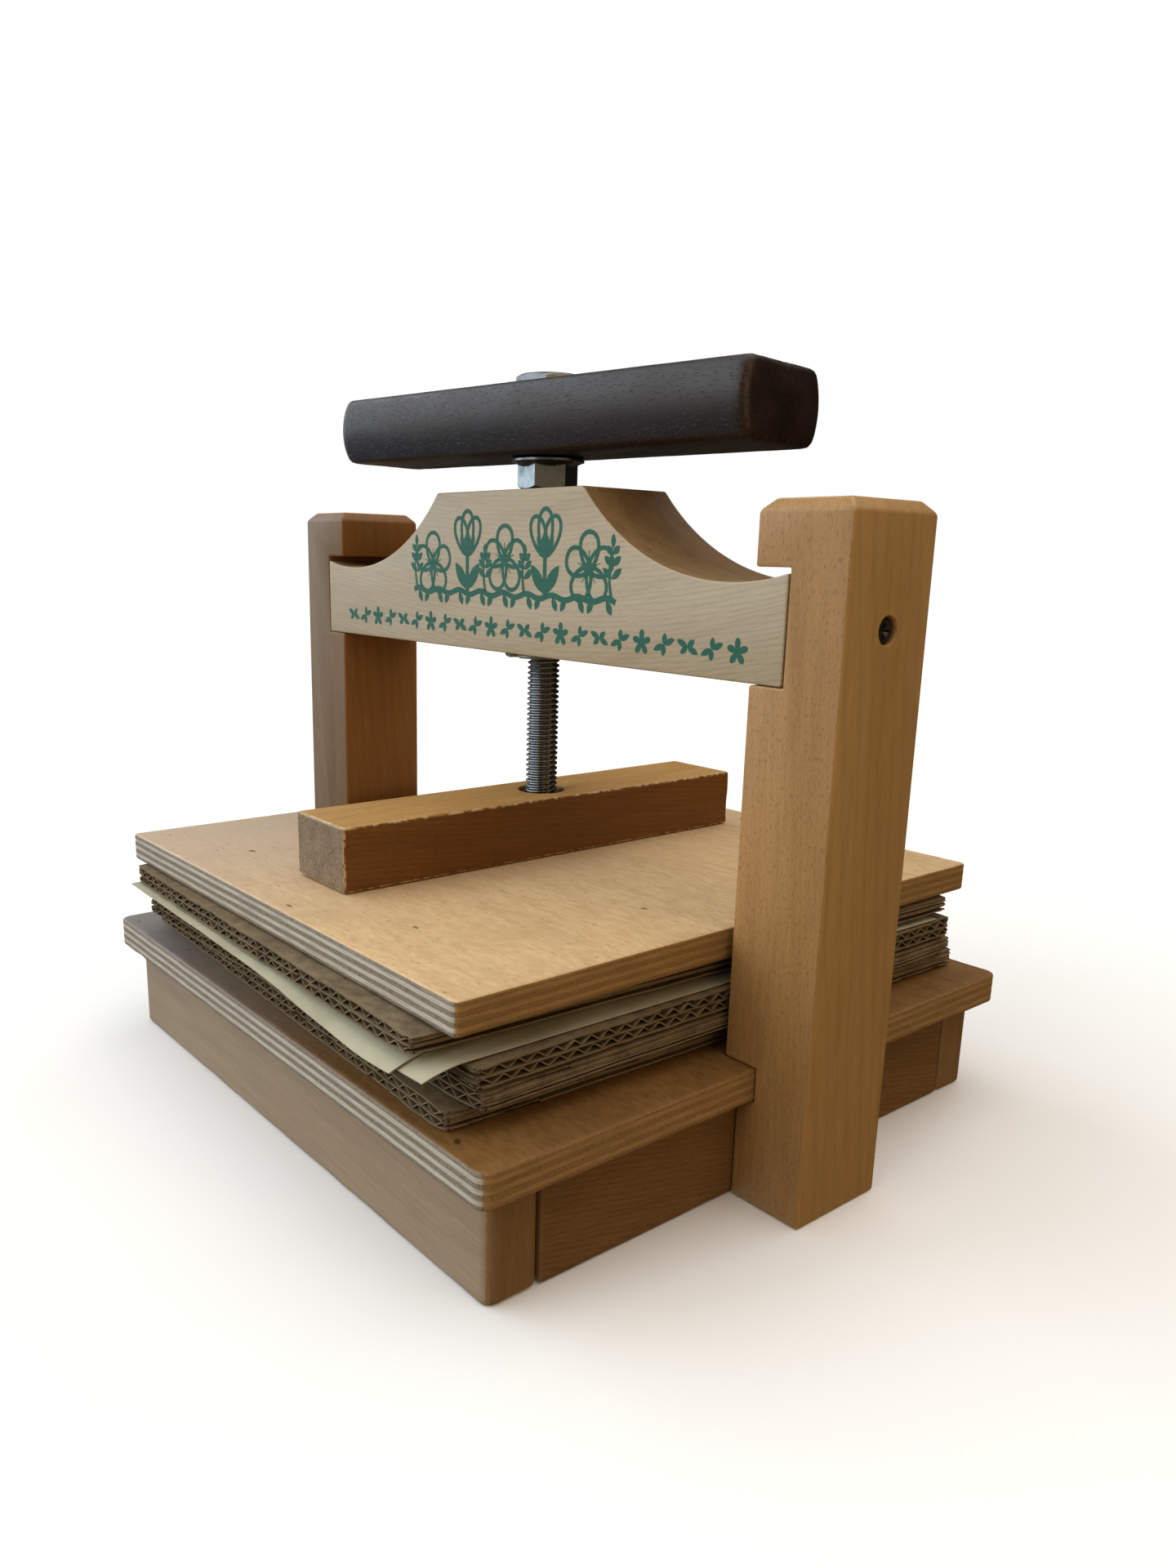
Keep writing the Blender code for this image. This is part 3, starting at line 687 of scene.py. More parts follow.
def make_uprights():
    grain = {"lines": 0.08, "dashes": 0.55, "dash": 1.5 * MM}
    # the left upright's front is darker than the right's: partly darker wood, partly painted shade
    fronts = {
        -1: wood("left upright front darker wood and painted shade", (0.195, 0.108, 0.040), (0.138, 0.073, 0.024), "Z", **grain),
        1: wood("right upright front", (0.40, 0.215, 0.073), (0.30, 0.152, 0.045), "Z", **grain),
    }
    grain = {"lines": 0.15, "gap": 5 * MM, "dashes": 0.15}
    # the left upright's inner side is darker than the right's side: partly darker wood, partly painted shade
    sides = {
        -1: wood("left upright side darker wood and painted shade", (0.27, 0.118, 0.026), (0.20, 0.084, 0.017), "Z", **grain),
        1: wood("right upright side", (0.46, 0.275, 0.098), (0.36, 0.205, 0.068), "Z", **grain),
    }
    top = end_grain("upright top", (0.50, 0.34, 0.18), (0.40, 0.25, 0.12))
    board_low, board_high = box("base_board")
    rail_outer = box("right_rail")[1].x
    shelf = box("crossbeam")[0].z - GAP
    for node, sign in (("left_upright", -1), ("right_upright", 1)):
        low, high = box(node)
        inner = low.x if sign > 0 else -high.x
        outer = high.x if sign > 0 else -low.x
        lap = board_high.x + GAP
        outline = [
            (rail_outer + GAP, 0),
            (outer, 0),
            (outer, high.z),
            (inner, high.z),
            (inner, HOOK_Z),
            (lap, HOOK_Z),
            (lap, shelf),
            (inner, shelf),
            (inner, board_high.z + GAP),
            (lap, board_high.z + GAP),
            (lap, board_low.z - GAP),
            (rail_outer + GAP, board_low.z - GAP),
        ]
        outline = [(sign * x, z) for x, z in outline]
        bm = profile_block(outline, low.y, high.y, 0.7 * MM, top_chamfer=TOP_CHAMFER)
        for face in bm.faces:
            n = face.normal
            if abs(n.y) > max(abs(n.x), abs(n.z)):
                face.material_index = 0
            elif abs(n.z) > 0.9:
                face.material_index = 2
            else:
                face.material_index = 1
        upright = solid(node + "_wood", bm, [fronts[sign], sides[sign], top], "frame", [node])
        screw = box("beam_screw_" + node.split("_")[0])
        middle = (screw[0] + screw[1]) / 2
        turn = Matrix.Rotation(math.radians(90 * sign), 4, "Y")
        place = Matrix.Translation((sign * outer, middle.y, middle.z)) @ turn
        pocket = revolve([(0, 0.01), (4.0 * MM, 0.01), (3.9 * MM, 0.0), (3.5 * MM, -0.0005),
                          (3.5 * MM, -0.0033), (0, -0.0033)], 40, place)
        cut(upright, pocket)


def shoulder(end_x, shift):
    """Points on the right shoulder's arc, from the crossbeam's end to its flat top."""
    centre_x = SHOULDER_X + shift
    end_angle = -math.pi / 2 + math.asin((end_x - centre_x) / SHOULDER_R)
    top_angle = -math.pi / 2 - math.asin((SHOULDER_X - BEAM_FLAT) / SHOULDER_R)
    return arc((centre_x, SHOULDER_Z), SHOULDER_R, end_angle, top_angle, 48)


def make_crossbeam():
    low, high = box("crossbeam")
    front = wood(
        "beam front", (0.45, 0.365, 0.245), (0.36, 0.275, 0.17), "X", lines=0.20, gap=1.5 * MM,
        dashes=0.18, clouds=0.35, bend=(-0.03, 1.05),
    )
    top = wood("beam top", (0.30, 0.185, 0.08), (0.18, 0.098, 0.038), "X", lines=0.3)
    end = end_grain("beam end", (0.42, 0.32, 0.19), (0.30, 0.21, 0.12))
    left = [(-x, z) for x, z in reversed(shoulder(high.x, LEFT_SHOULDER_OUT))]
    outline = [(low.x, low.z), (high.x, low.z), *shoulder(high.x, 0), *left]
    bm = profile_block(outline, low.y, high.y, 0.6 * MM, sharp=12)
    for face in bm.faces:
        n = face.normal
        face.material_index = 0 if abs(n.y) > 0.7 else (2 if abs(n.x) > 0.97 else 1)
    beam = solid("crossbeam_wood", bm, [front, top, end], "frame", ["crossbeam"])
    step = box("t_nut")[1].z + 0.4 * MM
    bore = revolve([(0, low.z - 0.01), (7.3 * MM, low.z - 0.01), (7.3 * MM, step),
                    (6.2 * MM, step), (6.2 * MM, high.z + 0.01), (0, high.z + 0.01)], 48)
    cut(beam, bore)


# ---------------------------------------------------------------- the printed ornament


class Print:
    """Flat printed shapes on the crossbeam's front, a few hundredths of a millimetre thick."""

    def __init__(self, y):
        self.bm = bmesh.new()
        self.y = y
        self.count = 0

    def layers(self):
        """Depths of the next shape's back and front. Overlapping shapes get different fronts."""
        self.count += 1
        return self.y + 0.02 * MM, self.y - 0.03 * MM - 0.0025 * MM * (self.count % 24)

    def area(self, points):
        """A filled outline."""
        back, front = self.layers()
        lower = [self.bm.verts.new((x, back, z)) for x, z in points]
        upper = [self.bm.verts.new((x, front, z)) for x, z in points]
        self.bm.faces.new(upper)
        self.bm.faces.new(list(reversed(lower)))
        for i in range(len(points)):
            self.bm.faces.new((lower[i - 1], lower[i], upper[i], upper[i - 1]))

    def band(self, left, right):
        """A closed band between two loops."""
        back, front = self.layers()
        rows = [[self.bm.verts.new((x, y, z)) for x, z in loop]
                for loop, y in ((left, front), (right, front), (right, back), (left, back))]
        for near, far in zip(rows, rows[1:] + rows[:1]):
            for i in range(len(near)):
                self.bm.faces.new((near[i - 1], near[i], far[i], far[i - 1]))

    def stroke(self, points, width, closed=False, taper=False):
        """A line of a given width through the points."""
        count = len(points)
        left, right = [], []
        for i, (x, z) in enumerate(points):
            before = points[(i - 1) % count] if closed else points[max(i - 1, 0)]
            after = points[(i + 1) % count] if closed else points[min(i + 1, count - 1)]
            dx, dz = after[0] - before[0], after[1] - before[1]
            size = math.hypot(dx, dz)
            half = width / 2
            if taper:
                half *= 1.0 - 0.7 * i / (count - 1)
            left.append((x - dz / size * half, z + dx / size * half))
            right.append((x + dz / size * half, z - dx / size * half))
        if closed:
            self.band(left, right)
        else:
            self.area(left + right[::-1])


def petal_outline(centre, angle, length, width, count=20):
    """A rounded petal that starts at the centre and points along the angle."""
    points = []
    for i in range(count):
        t = 2 * math.pi * i / count
        out = length * (1 - math.cos(t)) / 2
        side = width / 2 * math.sin(t) * (0.55 + 0.45 * out / length) ** 0.8
        points.append((
            centre[0] + out * math.cos(angle) - side * math.sin(angle),
            centre[1] + out * math.sin(angle) + side * math.cos(angle),
        ))
    return points


def leaf(base, angle, length, width, count=10):
    """A filled pointed leaf."""
    edge = [(i / count, math.sin(math.pi * i / count) ** 0.8 * width / 2) for i in range(count + 1)]
    sides = edge + [(t, -w) for t, w in edge[-2:0:-1]]
    c, s = math.cos(angle), math.sin(angle)
    return [(base[0] + t * length * c - w * s, base[1] + t * length * s + w * c) for t, w in sides]


def bend(start, end, bulge, count=14):
    """Points on a curved stem from start to end."""
    dx, dz = end[0] - start[0], end[1] - start[1]
    points = []
    for i in range(count + 1):
        t = i / count
        side = bulge * math.sin(math.pi * t)
        points.append((start[0] + dx * t - dz * side, start[1] + dz * t + dx * side))
    return points


LINE = 1.35 * MM


def daisy(page, centre, size, turn):
    """Five open petals around a filled middle."""
    for i in range(5):
        angle = turn + 2 * math.pi * i / 5
        page.stroke(petal_outline(centre, angle, size, size * 0.92), LINE, closed=True)
        tip = (centre[0] + size * 0.5 * math.cos(angle), centre[1] + size * 0.5 * math.sin(angle))
        page.stroke([centre, tip], 0.7 * MM, taper=True)
    page.area(arc(centre, size * 0.2, 0, 2 * math.pi, 14)[:-1])


def tulip(page, base, size, lean):
    """A cup of three open petals on a filled calyx."""
    up = math.pi / 2 + lean
    for spread, long in ((0.46, 0.92), (-0.46, 0.92), (0.0, 1.0)):
        page.stroke(petal_outline(base, up + spread, size * long, size * 0.58), LINE, closed=True)
    for turn, long in ((0.62, 0.50), (-0.62, 0.50), (0.25, 0.42), (-0.25, 0.42)):
        page.area(leaf(base, up + turn, size * long, size * 0.20))


def sprig(page, root, height, lean):
    """An upright stem with paired leaves."""
    tip = (root[0] + lean * height, root[1] + height)
    page.stroke(bend(root, tip, 0.08), 1.3 * MM, taper=True)
    for share, length in ((0.35, 5.0), (0.60, 4.4), (0.82, 3.6)):
        spot = (root[0] + (tip[0] - root[0]) * share, root[1] + height * share)
        for side in (1, -1):
            angle = math.radians(90 - side * 52)
            page.area(leaf(spot, angle, length * MM, 2.2 * MM))
    page.area(leaf((tip[0], tip[1] - 1 * MM), math.radians(90), 4 * MM, 1.9 * MM))


def make_print():
    """A row of flowers on a leafy ground, and a garland of leaves and small blossoms below it."""
    low = box("crossbeam")[0]
    page = Print(low.y)
    ground = low.z + 19.6 * MM
    for i, x in enumerate((-41, -20.5, 0, 20.5, 41)):
        x *= MM
        if i % 2:
            head = (x, ground + 11.5 * MM)
            tulip(page, head, 14 * MM, 0.0)
            page.stroke([(x, ground - 1 * MM), head], 1.7 * MM)
            page.area(leaf((x, ground), math.radians(128), 11 * MM, 4.2 * MM))
            page.area(leaf((x, ground), math.radians(52), 11 * MM, 4.2 * MM))
        else:
            daisy(page, (x, ground + (10 if i == 2 else 8) * MM), 10.6 * MM, math.radians(90))
    for x in (-51, -10.3, 10.3, 51):
        sprig(page, (x * MM, ground), (15 if abs(x) > 40 else 12) * MM, 0.02 if x > 0 else -0.02)
    ends = 53 * MM
    vine = [(-ends + 2 * ends * i / 60, ground - 0.9 * MM + 0.7 * MM * math.sin(i * 0.9)) for i in range(61)]
    page.stroke(vine, 1.8 * MM)
    for i in range(17):
        angle = math.radians(-118 if i % 2 else -62)
        page.area(leaf(((-50 + 6.2 * i) * MM, ground - MM), angle, 4.6 * MM, 2.4 * MM))

    middle = low.z + 7.8 * MM
    left, right, units = -96 * MM, 100 * MM, 23
    wave = (right - left) / (units - 1)
    for i in range(units):
        x = left + wave * i
        if i % 4 == 2:
            for petal in range(5):
                page.area(petal_outline((x, middle), math.radians(90 + 72 * petal), 3.7 * MM, 2.3 * MM, 10))
            continue
        tilt = 24 if i % 2 else -24
        for angle, length in ((tilt, 4.3), (180 + tilt, 4.3), (tilt + 62, 3.2), (tilt + 242, 3.2)):
            page.area(leaf((x, middle), math.radians(angle), length * MM, 1.8 * MM))
    solid("printed_ornament", page.bm, [ink("green ink", (0.0125, 0.105, 0.068))], "frame")


# ---------------------------------------------------------------- screw, nuts and wood screws

PITCH = 0.00175
BORE_R = 5.7 * MM  # of both nuts
HEAD_FLATS, HEAD_HEIGHT, HEAD_YAW = 0.0200, 6.4 * MM, math.radians(14.7)
NUT_FLATS, NUT_YAW = 0.0169, math.radians(-4.4)


def hex_radius(angle, across):
    """From the axis to the side of a hexagon with corners on X."""
    return across / 2 / math.cos(angle % (math.pi / 3) - math.pi / 6)


def crowned(across, height):
    """Rings from a hexagon's side over its chamfered corners to its flat top."""
    flat = across / 2 * 0.95

    def fall(radius):
        return max(0.0, radius - flat) * math.tan(math.radians(30))

    return [
        lambda a: (hex_radius(a, across), height - fall(hex_radius(a, across)) - 0.08 * MM),
        lambda a: (hex_radius(a, across) - 0.08 * MM, height - fall(hex_radius(a, across))),
        (flat, height - 0.05 * MM),
        (flat - 0.3 * MM, height),
    ]


def make_screw(zinc):
    low, high = box("press_screw")
    head_bottom = high.z - HEAD_HEIGHT
    inside = HEAD_FLATS / 2 * 0.95
    head = revolve([
        (0, head_bottom),
        lambda a: (hex_radius(a, HEAD_FLATS) - 0.2 * MM, head_bottom),
        lambda a: (hex_radius(a, HEAD_FLATS), head_bottom + 0.2 * MM),
        *crowned(HEAD_FLATS, high.z),
        (inside - 1.2 * MM, high.z - 0.02 * MM),
        (inside - 1.6 * MM, high.z - 0.18 * MM),
        (0, high.z - 0.20 * MM),
    ], 96, Matrix.Rotation(HEAD_YAW, 4, "Z"))
    add(head, threaded_rod(5.4 * MM, 1.0 * MM, PITCH, low.z, head_bottom + 2 * MM, tip=1.5 * MM))
    solid("press_screw_steel", head, [zinc], "screw", ["press_screw"])

    low, high = box("flange_nut")
    rim = (high.x - low.x) / 2
    inner = NUT_FLATS / 2 * 0.96

    def flare(z):
        """The flange's underside, as a radius at a depth under the nut's top."""
        up = (z - (high.z - 3.6 * MM)) / (2.6 * MM)
        return inner + (rim - inner) * max(0.0, min(1.0, up)) ** 2.2

    def side(z):
        return lambda a: (max(hex_radius(a, NUT_FLATS), flare(z)), z)

    def flipped(ring):
        """A ring of a crown, upside down at the nut's bottom."""
        if not callable(ring):
            return (ring[0], low.z - ring[1])
        return lambda a: (ring(a)[0], low.z - ring(a)[1])

    heights = [high.z - 1.0 * MM - 2.6 * MM * (1 - i / 9) for i in range(10)]
    nut = revolve([
        (BORE_R, low.z + 0.5 * MM),
        (BORE_R + 0.6 * MM, low.z),
        *[flipped(ring) for ring in reversed(crowned(NUT_FLATS, 0.0))],
        *[side(z) for z in heights],
        (rim, high.z - 0.75 * MM),
        (rim, high.z - 0.35 * MM),
        (rim - 0.3 * MM, high.z),
        (BORE_R, high.z),
    ], 96, Matrix.Rotation(NUT_YAW, 4, "Z"))
    solid("flange_nut_steel", nut, [zinc], "screw", ["flange_nut"])


def make_t_nut(zinc):
    """A pressed T-nut: a disc with four prongs bent up out of notches in its rim, and a barrel."""
    low, high = box("t_nut")
    rim = high.x
    top = low.z + 1.5 * MM

    def notched(radius, z):
        def ring(angle):
            off = abs((angle + math.pi / 4) % (math.pi / 2) - math.pi / 4)
            return (radius - (2.4 * MM if off < math.radians(9) else 0.0), z)
        return ring

    bm = revolve([
        (BORE_R, low.z + 0.6 * MM),
        (BORE_R + 0.7 * MM, low.z),
        notched(rim - 0.5 * MM, low.z),
        notched(rim, low.z + 0.5 * MM),
        notched(rim, top - 0.3 * MM),
        notched(rim - 0.2 * MM, top),
        (7.6 * MM, top),
        (7.0 * MM, top + 0.6 * MM),
        (7.0 * MM, high.z),
        (BORE_R, high.z),
    ], 96)
    for quarter in range(4):
        place = Matrix.Rotation(quarter * math.pi / 2, 4, "Z")
        blade = rounded_block((10.0 * MM, -1.4 * MM, low.z + 0.4 * MM),
                              (11.0 * MM, 1.4 * MM, low.z + 7.6 * MM), radius=0.2 * MM, cell=3 * MM)
        for v in blade.verts:
            rise = max(0.0, (v.co.z - top) / (high.z - top))
            v.co.y *= 1 - 0.6 * min(1.0, rise)
        blade.transform(place)
        add(bm, blade)
    solid("t_nut_steel", bm, [zinc], "frame", ["t_nut"])


def wood_screw(node, finish):
    """A countersunk wood screw with a cross recess and a real thread."""
    low, high = box(node)
    middle = (low + high) / 2
    outward = 1 if middle.x > 0 else -1
    head_out = node.startswith("beam")
    head_x = high.x if (outward > 0) == head_out else low.x
    towards_tip = -outward if head_out else outward
    length = high.x - low.x
    head_r = 3.1 * MM
    bm = revolve([
        (0, 0.9 * MM), (0.5 * MM, 0.9 * MM), (1.2 * MM, 0.25 * MM), (1.9 * MM, 0.05 * MM),
        (head_r - 0.25 * MM, 0), (head_r, 0.2 * MM), (head_r, 0.5 * MM),
        (1.7 * MM, 2.1 * MM), (1.5 * MM, 5 * MM), (0, 5 * MM),
    ], 40)
    add(bm, threaded_rod(1.85 * MM, 0.55 * MM, 2.2 * MM, 3.5 * MM, length - 0.2 * MM, steps=16))
    turn = (X * towards_tip).to_track_quat("Z", "Y").to_matrix().to_4x4()
    place = Matrix.Translation((head_x, middle.y, middle.z)) @ turn
    bm.transform(place)
    screw = solid(node + "_steel", bm, [finish], "frame", [node])
    long, short = 1.9 * MM, 0.35 * MM
    for x, y in ((long, short), (short, long)):
        corner = Vector((x, y, MM))
        arm = rounded_block(-corner, corner, radius=0.1 * MM, cell=MM, fade=(0.1 * MM,))
        arm.transform(place)
        cut(screw, arm)


def make_metal():
    zinc = steel("zinc plate", (0.215, 0.235, 0.245), 0.20, (0.10, 0.094, 0.072))
    black = steel("blackened steel", (0.07, 0.07, 0.07), 0.38, (0.12, 0.10, 0.08))
    make_screw(zinc)
    make_t_nut(zinc)
    for side in ("left", "right"):
        wood_screw("beam_screw_" + side, black)
        for end in ("front", "back"):
            wood_screw(f"rail_screw_{side}_{end}", zinc)
    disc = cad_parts["bearing_disc"]
    disc.data.materials.clear()
    disc.data.materials.append(zinc)


# ---------------------------------------------------------------- handle and press bar

HANDLE_YAW = math.radians(8.2)
HANDLE_R, HANDLE_LENGTH, HANDLE_SHIFT = 0.0202, 0.1712, 0.0021
HANDLE_DOME = 0.9 * MM  # how far its end faces bulge
HANDLE_EDGE = 3.0 * MM  # radius of its end faces' rims


def handle_section(half, sides=88, power=18):
    """A circle flattened above and below, as Y and Z around the middle."""
    section = []
    for i in range(sides):
        a = 2 * math.pi * i / sides
        flat = half / max(abs(math.sin(a)), 1e-6)
        r = (HANDLE_R**-power + flat**-power) ** (-1 / power)
        section.append(Vector((0, r * math.cos(a), r * math.sin(a))))
    return section


def handle_stations():
    """From an end face inwards: a place along the handle, the section's inset and its share."""
    half = HANDLE_LENGTH / 2 - HANDLE_DOME
    rows = []
    for share in (0.25, 0.45, 0.65, 0.85):
        rows.append((half + HANDLE_DOME * (1 - share**2), HANDLE_EDGE, share))
    for degrees in (0, 18, 36, 54, 72, 90):
        t = math.radians(degrees)
        rows.append((half - HANDLE_EDGE * (1 - math.cos(t)), HANDLE_EDGE * (1 - math.sin(t)), 1.0))
    return rows


def make_handle():
    """A dowel planed flat above and below, with soft edges, domed ends and an uneven surface."""
    low, high = box("handle")
    middle, half = (low.z + high.z) / 2, (high.z - low.z) / 2
    section = handle_section(half)
    ends = handle_stations()
    inner, count = ends[-1][0], 120
    rings = [(-x, inset, share) for x, inset, share in ends]
    rings += [(inner * (2 * i / count - 1), 0.0, 1.0) for i in range(1, count)]
    rings += list(reversed(ends))
    bm = bmesh.new()
    wear = bm.verts.layers.float.new("wear")
    built = []
    for x, inset, share in rings:
        ring = []
        for spot in section:
            out = spot.normalized()
            p = Vector((x, 0, 0)) + spot * (1 - inset / spot.length) * share
            uneven = 0.10 * MM * wander(p, 70, 2.0) + 0.05 * MM * wander(p, 420, 5.0)
            chip = 0.35 * MM * max(0.0, wander(p, 240, 9.0) - 0.2) if 0 < inset < 3 * MM else 0.0
            p -= out * (0.10 * MM + uneven + chip)
            v = bm.verts.new((p.x + HANDLE_SHIFT, p.y, p.z + middle))
            on_rim = 0 < inset < 2.6 * MM
            v[wear] = 0.35 if on_rim else 0.0
            ring.append(v)
        built.append(ring)
    for lower, upper in zip(built, built[1:]):
        for i in range(len(section)):
            bm.faces.new((lower[i - 1], lower[i], upper[i], upper[i - 1]))
    for ring in (built[0], built[-1]):
        bm.faces.new(ring)
    bm.transform(Matrix.Rotation(HANDLE_YAW, 4, "Z"))
    stain, high_spots, worn = (0.0125, 0.0052, 0.0030), (0.0205, 0.0088, 0.0050), (0.085, 0.046, 0.022)
    finish = dark_handle("dark stain", stain, high_spots, worn)
    handle = solid("handle_wood", bm, [finish], "screw", ["handle"], angle=50)
    seat = box("press_screw")[1].z - HEAD_HEIGHT - GAP
    hole = revolve([
        (0, low.z - 0.01), (6.0 * MM, low.z - 0.01), (6.0 * MM, seat), (12.1 * MM, seat),
        (12.1 * MM, high.z - 0.4 * MM), (12.5 * MM, high.z + 0.1 * MM), (12.5 * MM, high.z + 0.01),
        (0, high.z + 0.01),
    ], 72)
    cut(handle, hole, angle=50)


def make_press_bar():
    low, high = box("press_bar")
    side = wood("bar side", (0.165, 0.062, 0.008), (0.110, 0.040, 0.005), "Y", gap=1.8 * MM,
                wear=(0.50, 0.34, 0.17))
    top = wood("bar top", (0.50, 0.285, 0.085), (0.36, 0.18, 0.045), "Y", lines=0.2,
               clouds=0.8, wear=(0.58, 0.44, 0.27))
    end = end_grain("bar end", (0.26, 0.19, 0.12), (0.19, 0.13, 0.078), wear=(0.42, 0.32, 0.20))
    bm = rounded_block(low, high, radius=0.8 * MM, cell=3 * MM, dents=1.0 * MM, seed=4.0)
    bar = solid("press_bar_wood", bm, [side, end, top], "press_bar", ["press_bar"])
    floor = box("bearing_disc")[0].z - GAP
    pocket = revolve([(0, floor), (7.6 * MM, floor), (7.6 * MM, high.z - 0.6 * MM),
                      (8.1 * MM, high.z + 0.1 * MM), (8.1 * MM, high.z + 0.01), (0, high.z + 0.01)], 64)
    cut(bar, pocket)


# ---------------------------------------------------------------- the stack

FLUTE = 0.0057
LINER, MEDIUM = 0.00046, 0.00038
# corners front left, front right, back right and back left; bottom and top, and the sag of each;
# whether the flutes run along Y; crushing at the right side and at the front
CARDBOARDS = {
    "cardboard_1": (
        ((-0.0900, -0.1098), (0.0930, -0.1136), (0.1030, 0.0930), (-0.0880, 0.0950)),
        (0.0612, 0.00105), (0.0673, 0.0014), True, 0.45, 0.10,
    ),
    "cardboard_2": (
        ((-0.0940, -0.1015), (0.1030, -0.1015), (0.1036, 0.0950), (-0.0945, 0.0920)),
        (0.0533, 0.0007), (0.0595, 0.00105), False, 0.10, 0.30,
    ),
    "cardboard_3": (
        ((-0.0965, -0.1040), (0.1028, -0.1000), (0.1036, 0.0965), (-0.0975, 0.0950)),
        (0.0468, 0.00035), (0.0530, 0.0007), True, 0.50, 0.12,
    ),
    "cardboard_4": (
        ((-0.1030, -0.0980), (0.0950, -0.1052), (0.1015, 0.1020), (-0.0990, 0.1050)),
        (0.0403, 0.0), (0.0465, 0.00035), True, 0.35, 0.08,
    ),
}
PAPERS = {
    "blotting_paper_upper": (
        ((-0.0900, -0.1117), (0.0885, -0.1162), (0.0959, 0.0867), (-0.0860, 0.0880)), 0.0605
    ),
    "blotting_paper_lower": (
        ((-0.0880, -0.1095), (0.0990, -0.1140), (0.1028, 0.0870), (-0.0855, 0.0900)), 0.0598
    ),
}
PAPER_SAG = 0.00105
# the papers hang free in front of FREE_FROM: how far, at which X most, over what width and how bent
FREE_FROM, FREE = -0.1025, 0.0137
DROOP_LEAST, DROOP_MOST, DROOP_X, DROOP_SPREAD, DROOP_POWER = 0.8 * MM, 4.5 * MM, 0.070, 0.040, 1.6
CORNER = 3 * MM  # rounding of a worn cardboard corner


def spread(length, step, near=()):
    """Places from one end of a length to the other, closer together near the ends."""
    half = length / 2
    inner = half - (near[-1] if near else 0)
    count = max(2, round(2 * inner / step))
    middle = [-inner + 2 * inner * i / count for i in range(count + 1)]
    head = [-half + d for d in near[:-1]]
    return head + middle + [-x for x in reversed(head)]


def in_pile(corners, across, back, height, sag):
    """A point of the pile over four corners, at a share of the width and of the depth."""
    front_left, front_right, back_right, back_left = (Vector((x, y, height)) for x, y in corners)
    p = front_left.lerp(front_right, across).lerp(back_left.lerp(back_right, across), back)
    p.z -= sag * (LEVEL_X - p.x) / PILE_WIDTH
    return p


def sizes(corners):
    """A four-cornered sheet's mean width and depth."""
    a, b, c, d = (Vector(corner) for corner in corners)
    return ((b - a).length + (c - d).length) / 2, ((d - a).length + (c - b).length) / 2


def corrugated(node, corners, under, over, along_y, crush_side, crush_front, finishes, seed):
    """Double wall board: three liners with two rows of flutes between them, crushed at its edges."""
    (bottom, low_sag), (top, high_sag) = under, over
    width, depth = sizes(corners)
    wave_length, flute_length = (width, depth) if along_y else (depth, width)
    gap = (top - bottom - 3 * LINER) / 2
    near = (0.0, 0.8 * MM, 2 * MM, 4 * MM, 7 * MM, 12 * MM)
    rows = spread(flute_length, 16 * MM, near)
    flutes = round(wave_length / FLUTE)
    fine = [wave_length * (i / (flutes * 8) - 0.5) for i in range(flutes * 8 + 1)]
    coarse = spread(wave_length, 4 * MM, (0.0, 0.7 * MM, 1.6 * MM, 3 * MM))

    def point(u, v, z, level):
        x, y = (u, v) if along_y else (v, u)
        right, front = width / 2 - x, y + depth / 2
        dent = 0.5 + 0.5 * wander((x, y, 0), 45, seed)
        fine_dent = 0.5 + 0.5 * wander((x, y, level * 0.01), 190, seed + 3)
        press = crush_side * math.exp(-right / (5 * MM)) * (0.35 + 0.65 * dent)
        press += crush_front * math.exp(-front / (4 * MM)) * (0.3 + 0.7 * dent)
        middle = (bottom + top) / 2
        z = middle + (z - middle) * (1 - min(0.75, press * (0.7 + 0.6 * fine_dent)))
        sag = low_sag + (high_sag - low_sag) * (z - bottom) / (top - bottom)
        return in_pile(corners, x / width + 0.5, y / depth + 0.5, z, sag)

    def worn(past):
        """How far a rounded corner stays behind the sheet's edge."""
        past = max(0.0, min(CORNER, past))
        return CORNER - math.sqrt(CORNER**2 - past**2)

    def ragged(u, v, level):
        """Moves a point on the outline in by a torn, uneven amount and rounds the corners."""
        on_u, on_v = abs(u) > wave_length / 2 - MM / 20, abs(v) > flute_length / 2 - MM / 20
        if on_u and on_v:
            return u - math.copysign(CORNER * 0.3, u), v - math.copysign(CORNER * 0.3, v)
        pull = 0.30 * MM + 0.45 * MM * wander((u, v, level * 0.02), 420, seed)
        pull += 1.1 * MM * max(0.0, wander((u, v, level * 0.02), 95, seed + 7) - 0.05)
        pull = max(0.05 * MM, pull)
        if on_u:
            u -= math.copysign(pull + worn(abs(v) - flute_length / 2 + CORNER), u)
        if on_v:
            v -= math.copysign(pull + worn(abs(u) - wave_length / 2 + CORNER), v)
        return u, v

    bm = bmesh.new()
    for level in range(3):
        z = bottom + LINER / 2 + level * (gap + LINER)
        grid = [[point(*ragged(u, v, level), z, level) for u in coarse] for v in rows]
        shell(bm, grid, LINER)
    reach = (gap - MEDIUM) / 2
    for level in range(2):
        z = bottom + LINER + gap / 2 + level * (gap + LINER)
        grid = []
        for v in rows:
            line = []
            for u in fine:
                drift = 0.6 * wander((u, 0, level), 60, seed + 11)
                phase = 2 * math.pi * u / FLUTE + 1.1 * level + drift
                swing = math.asin(0.96 * math.sin(phase)) / math.asin(0.96)
                uu, vv = ragged(u, v, level + 5)
                uu = max(-wave_length / 2 + 0.3 * MM, min(wave_length / 2 - 0.3 * MM, uu))
                line.append(point(uu, vv, z + swing * reach * 0.97, level))
            grid.append(line)
        shell(bm, grid, MEDIUM, wear_rows=1)
    solid(node + "_board", bm, finishes, node, [node])


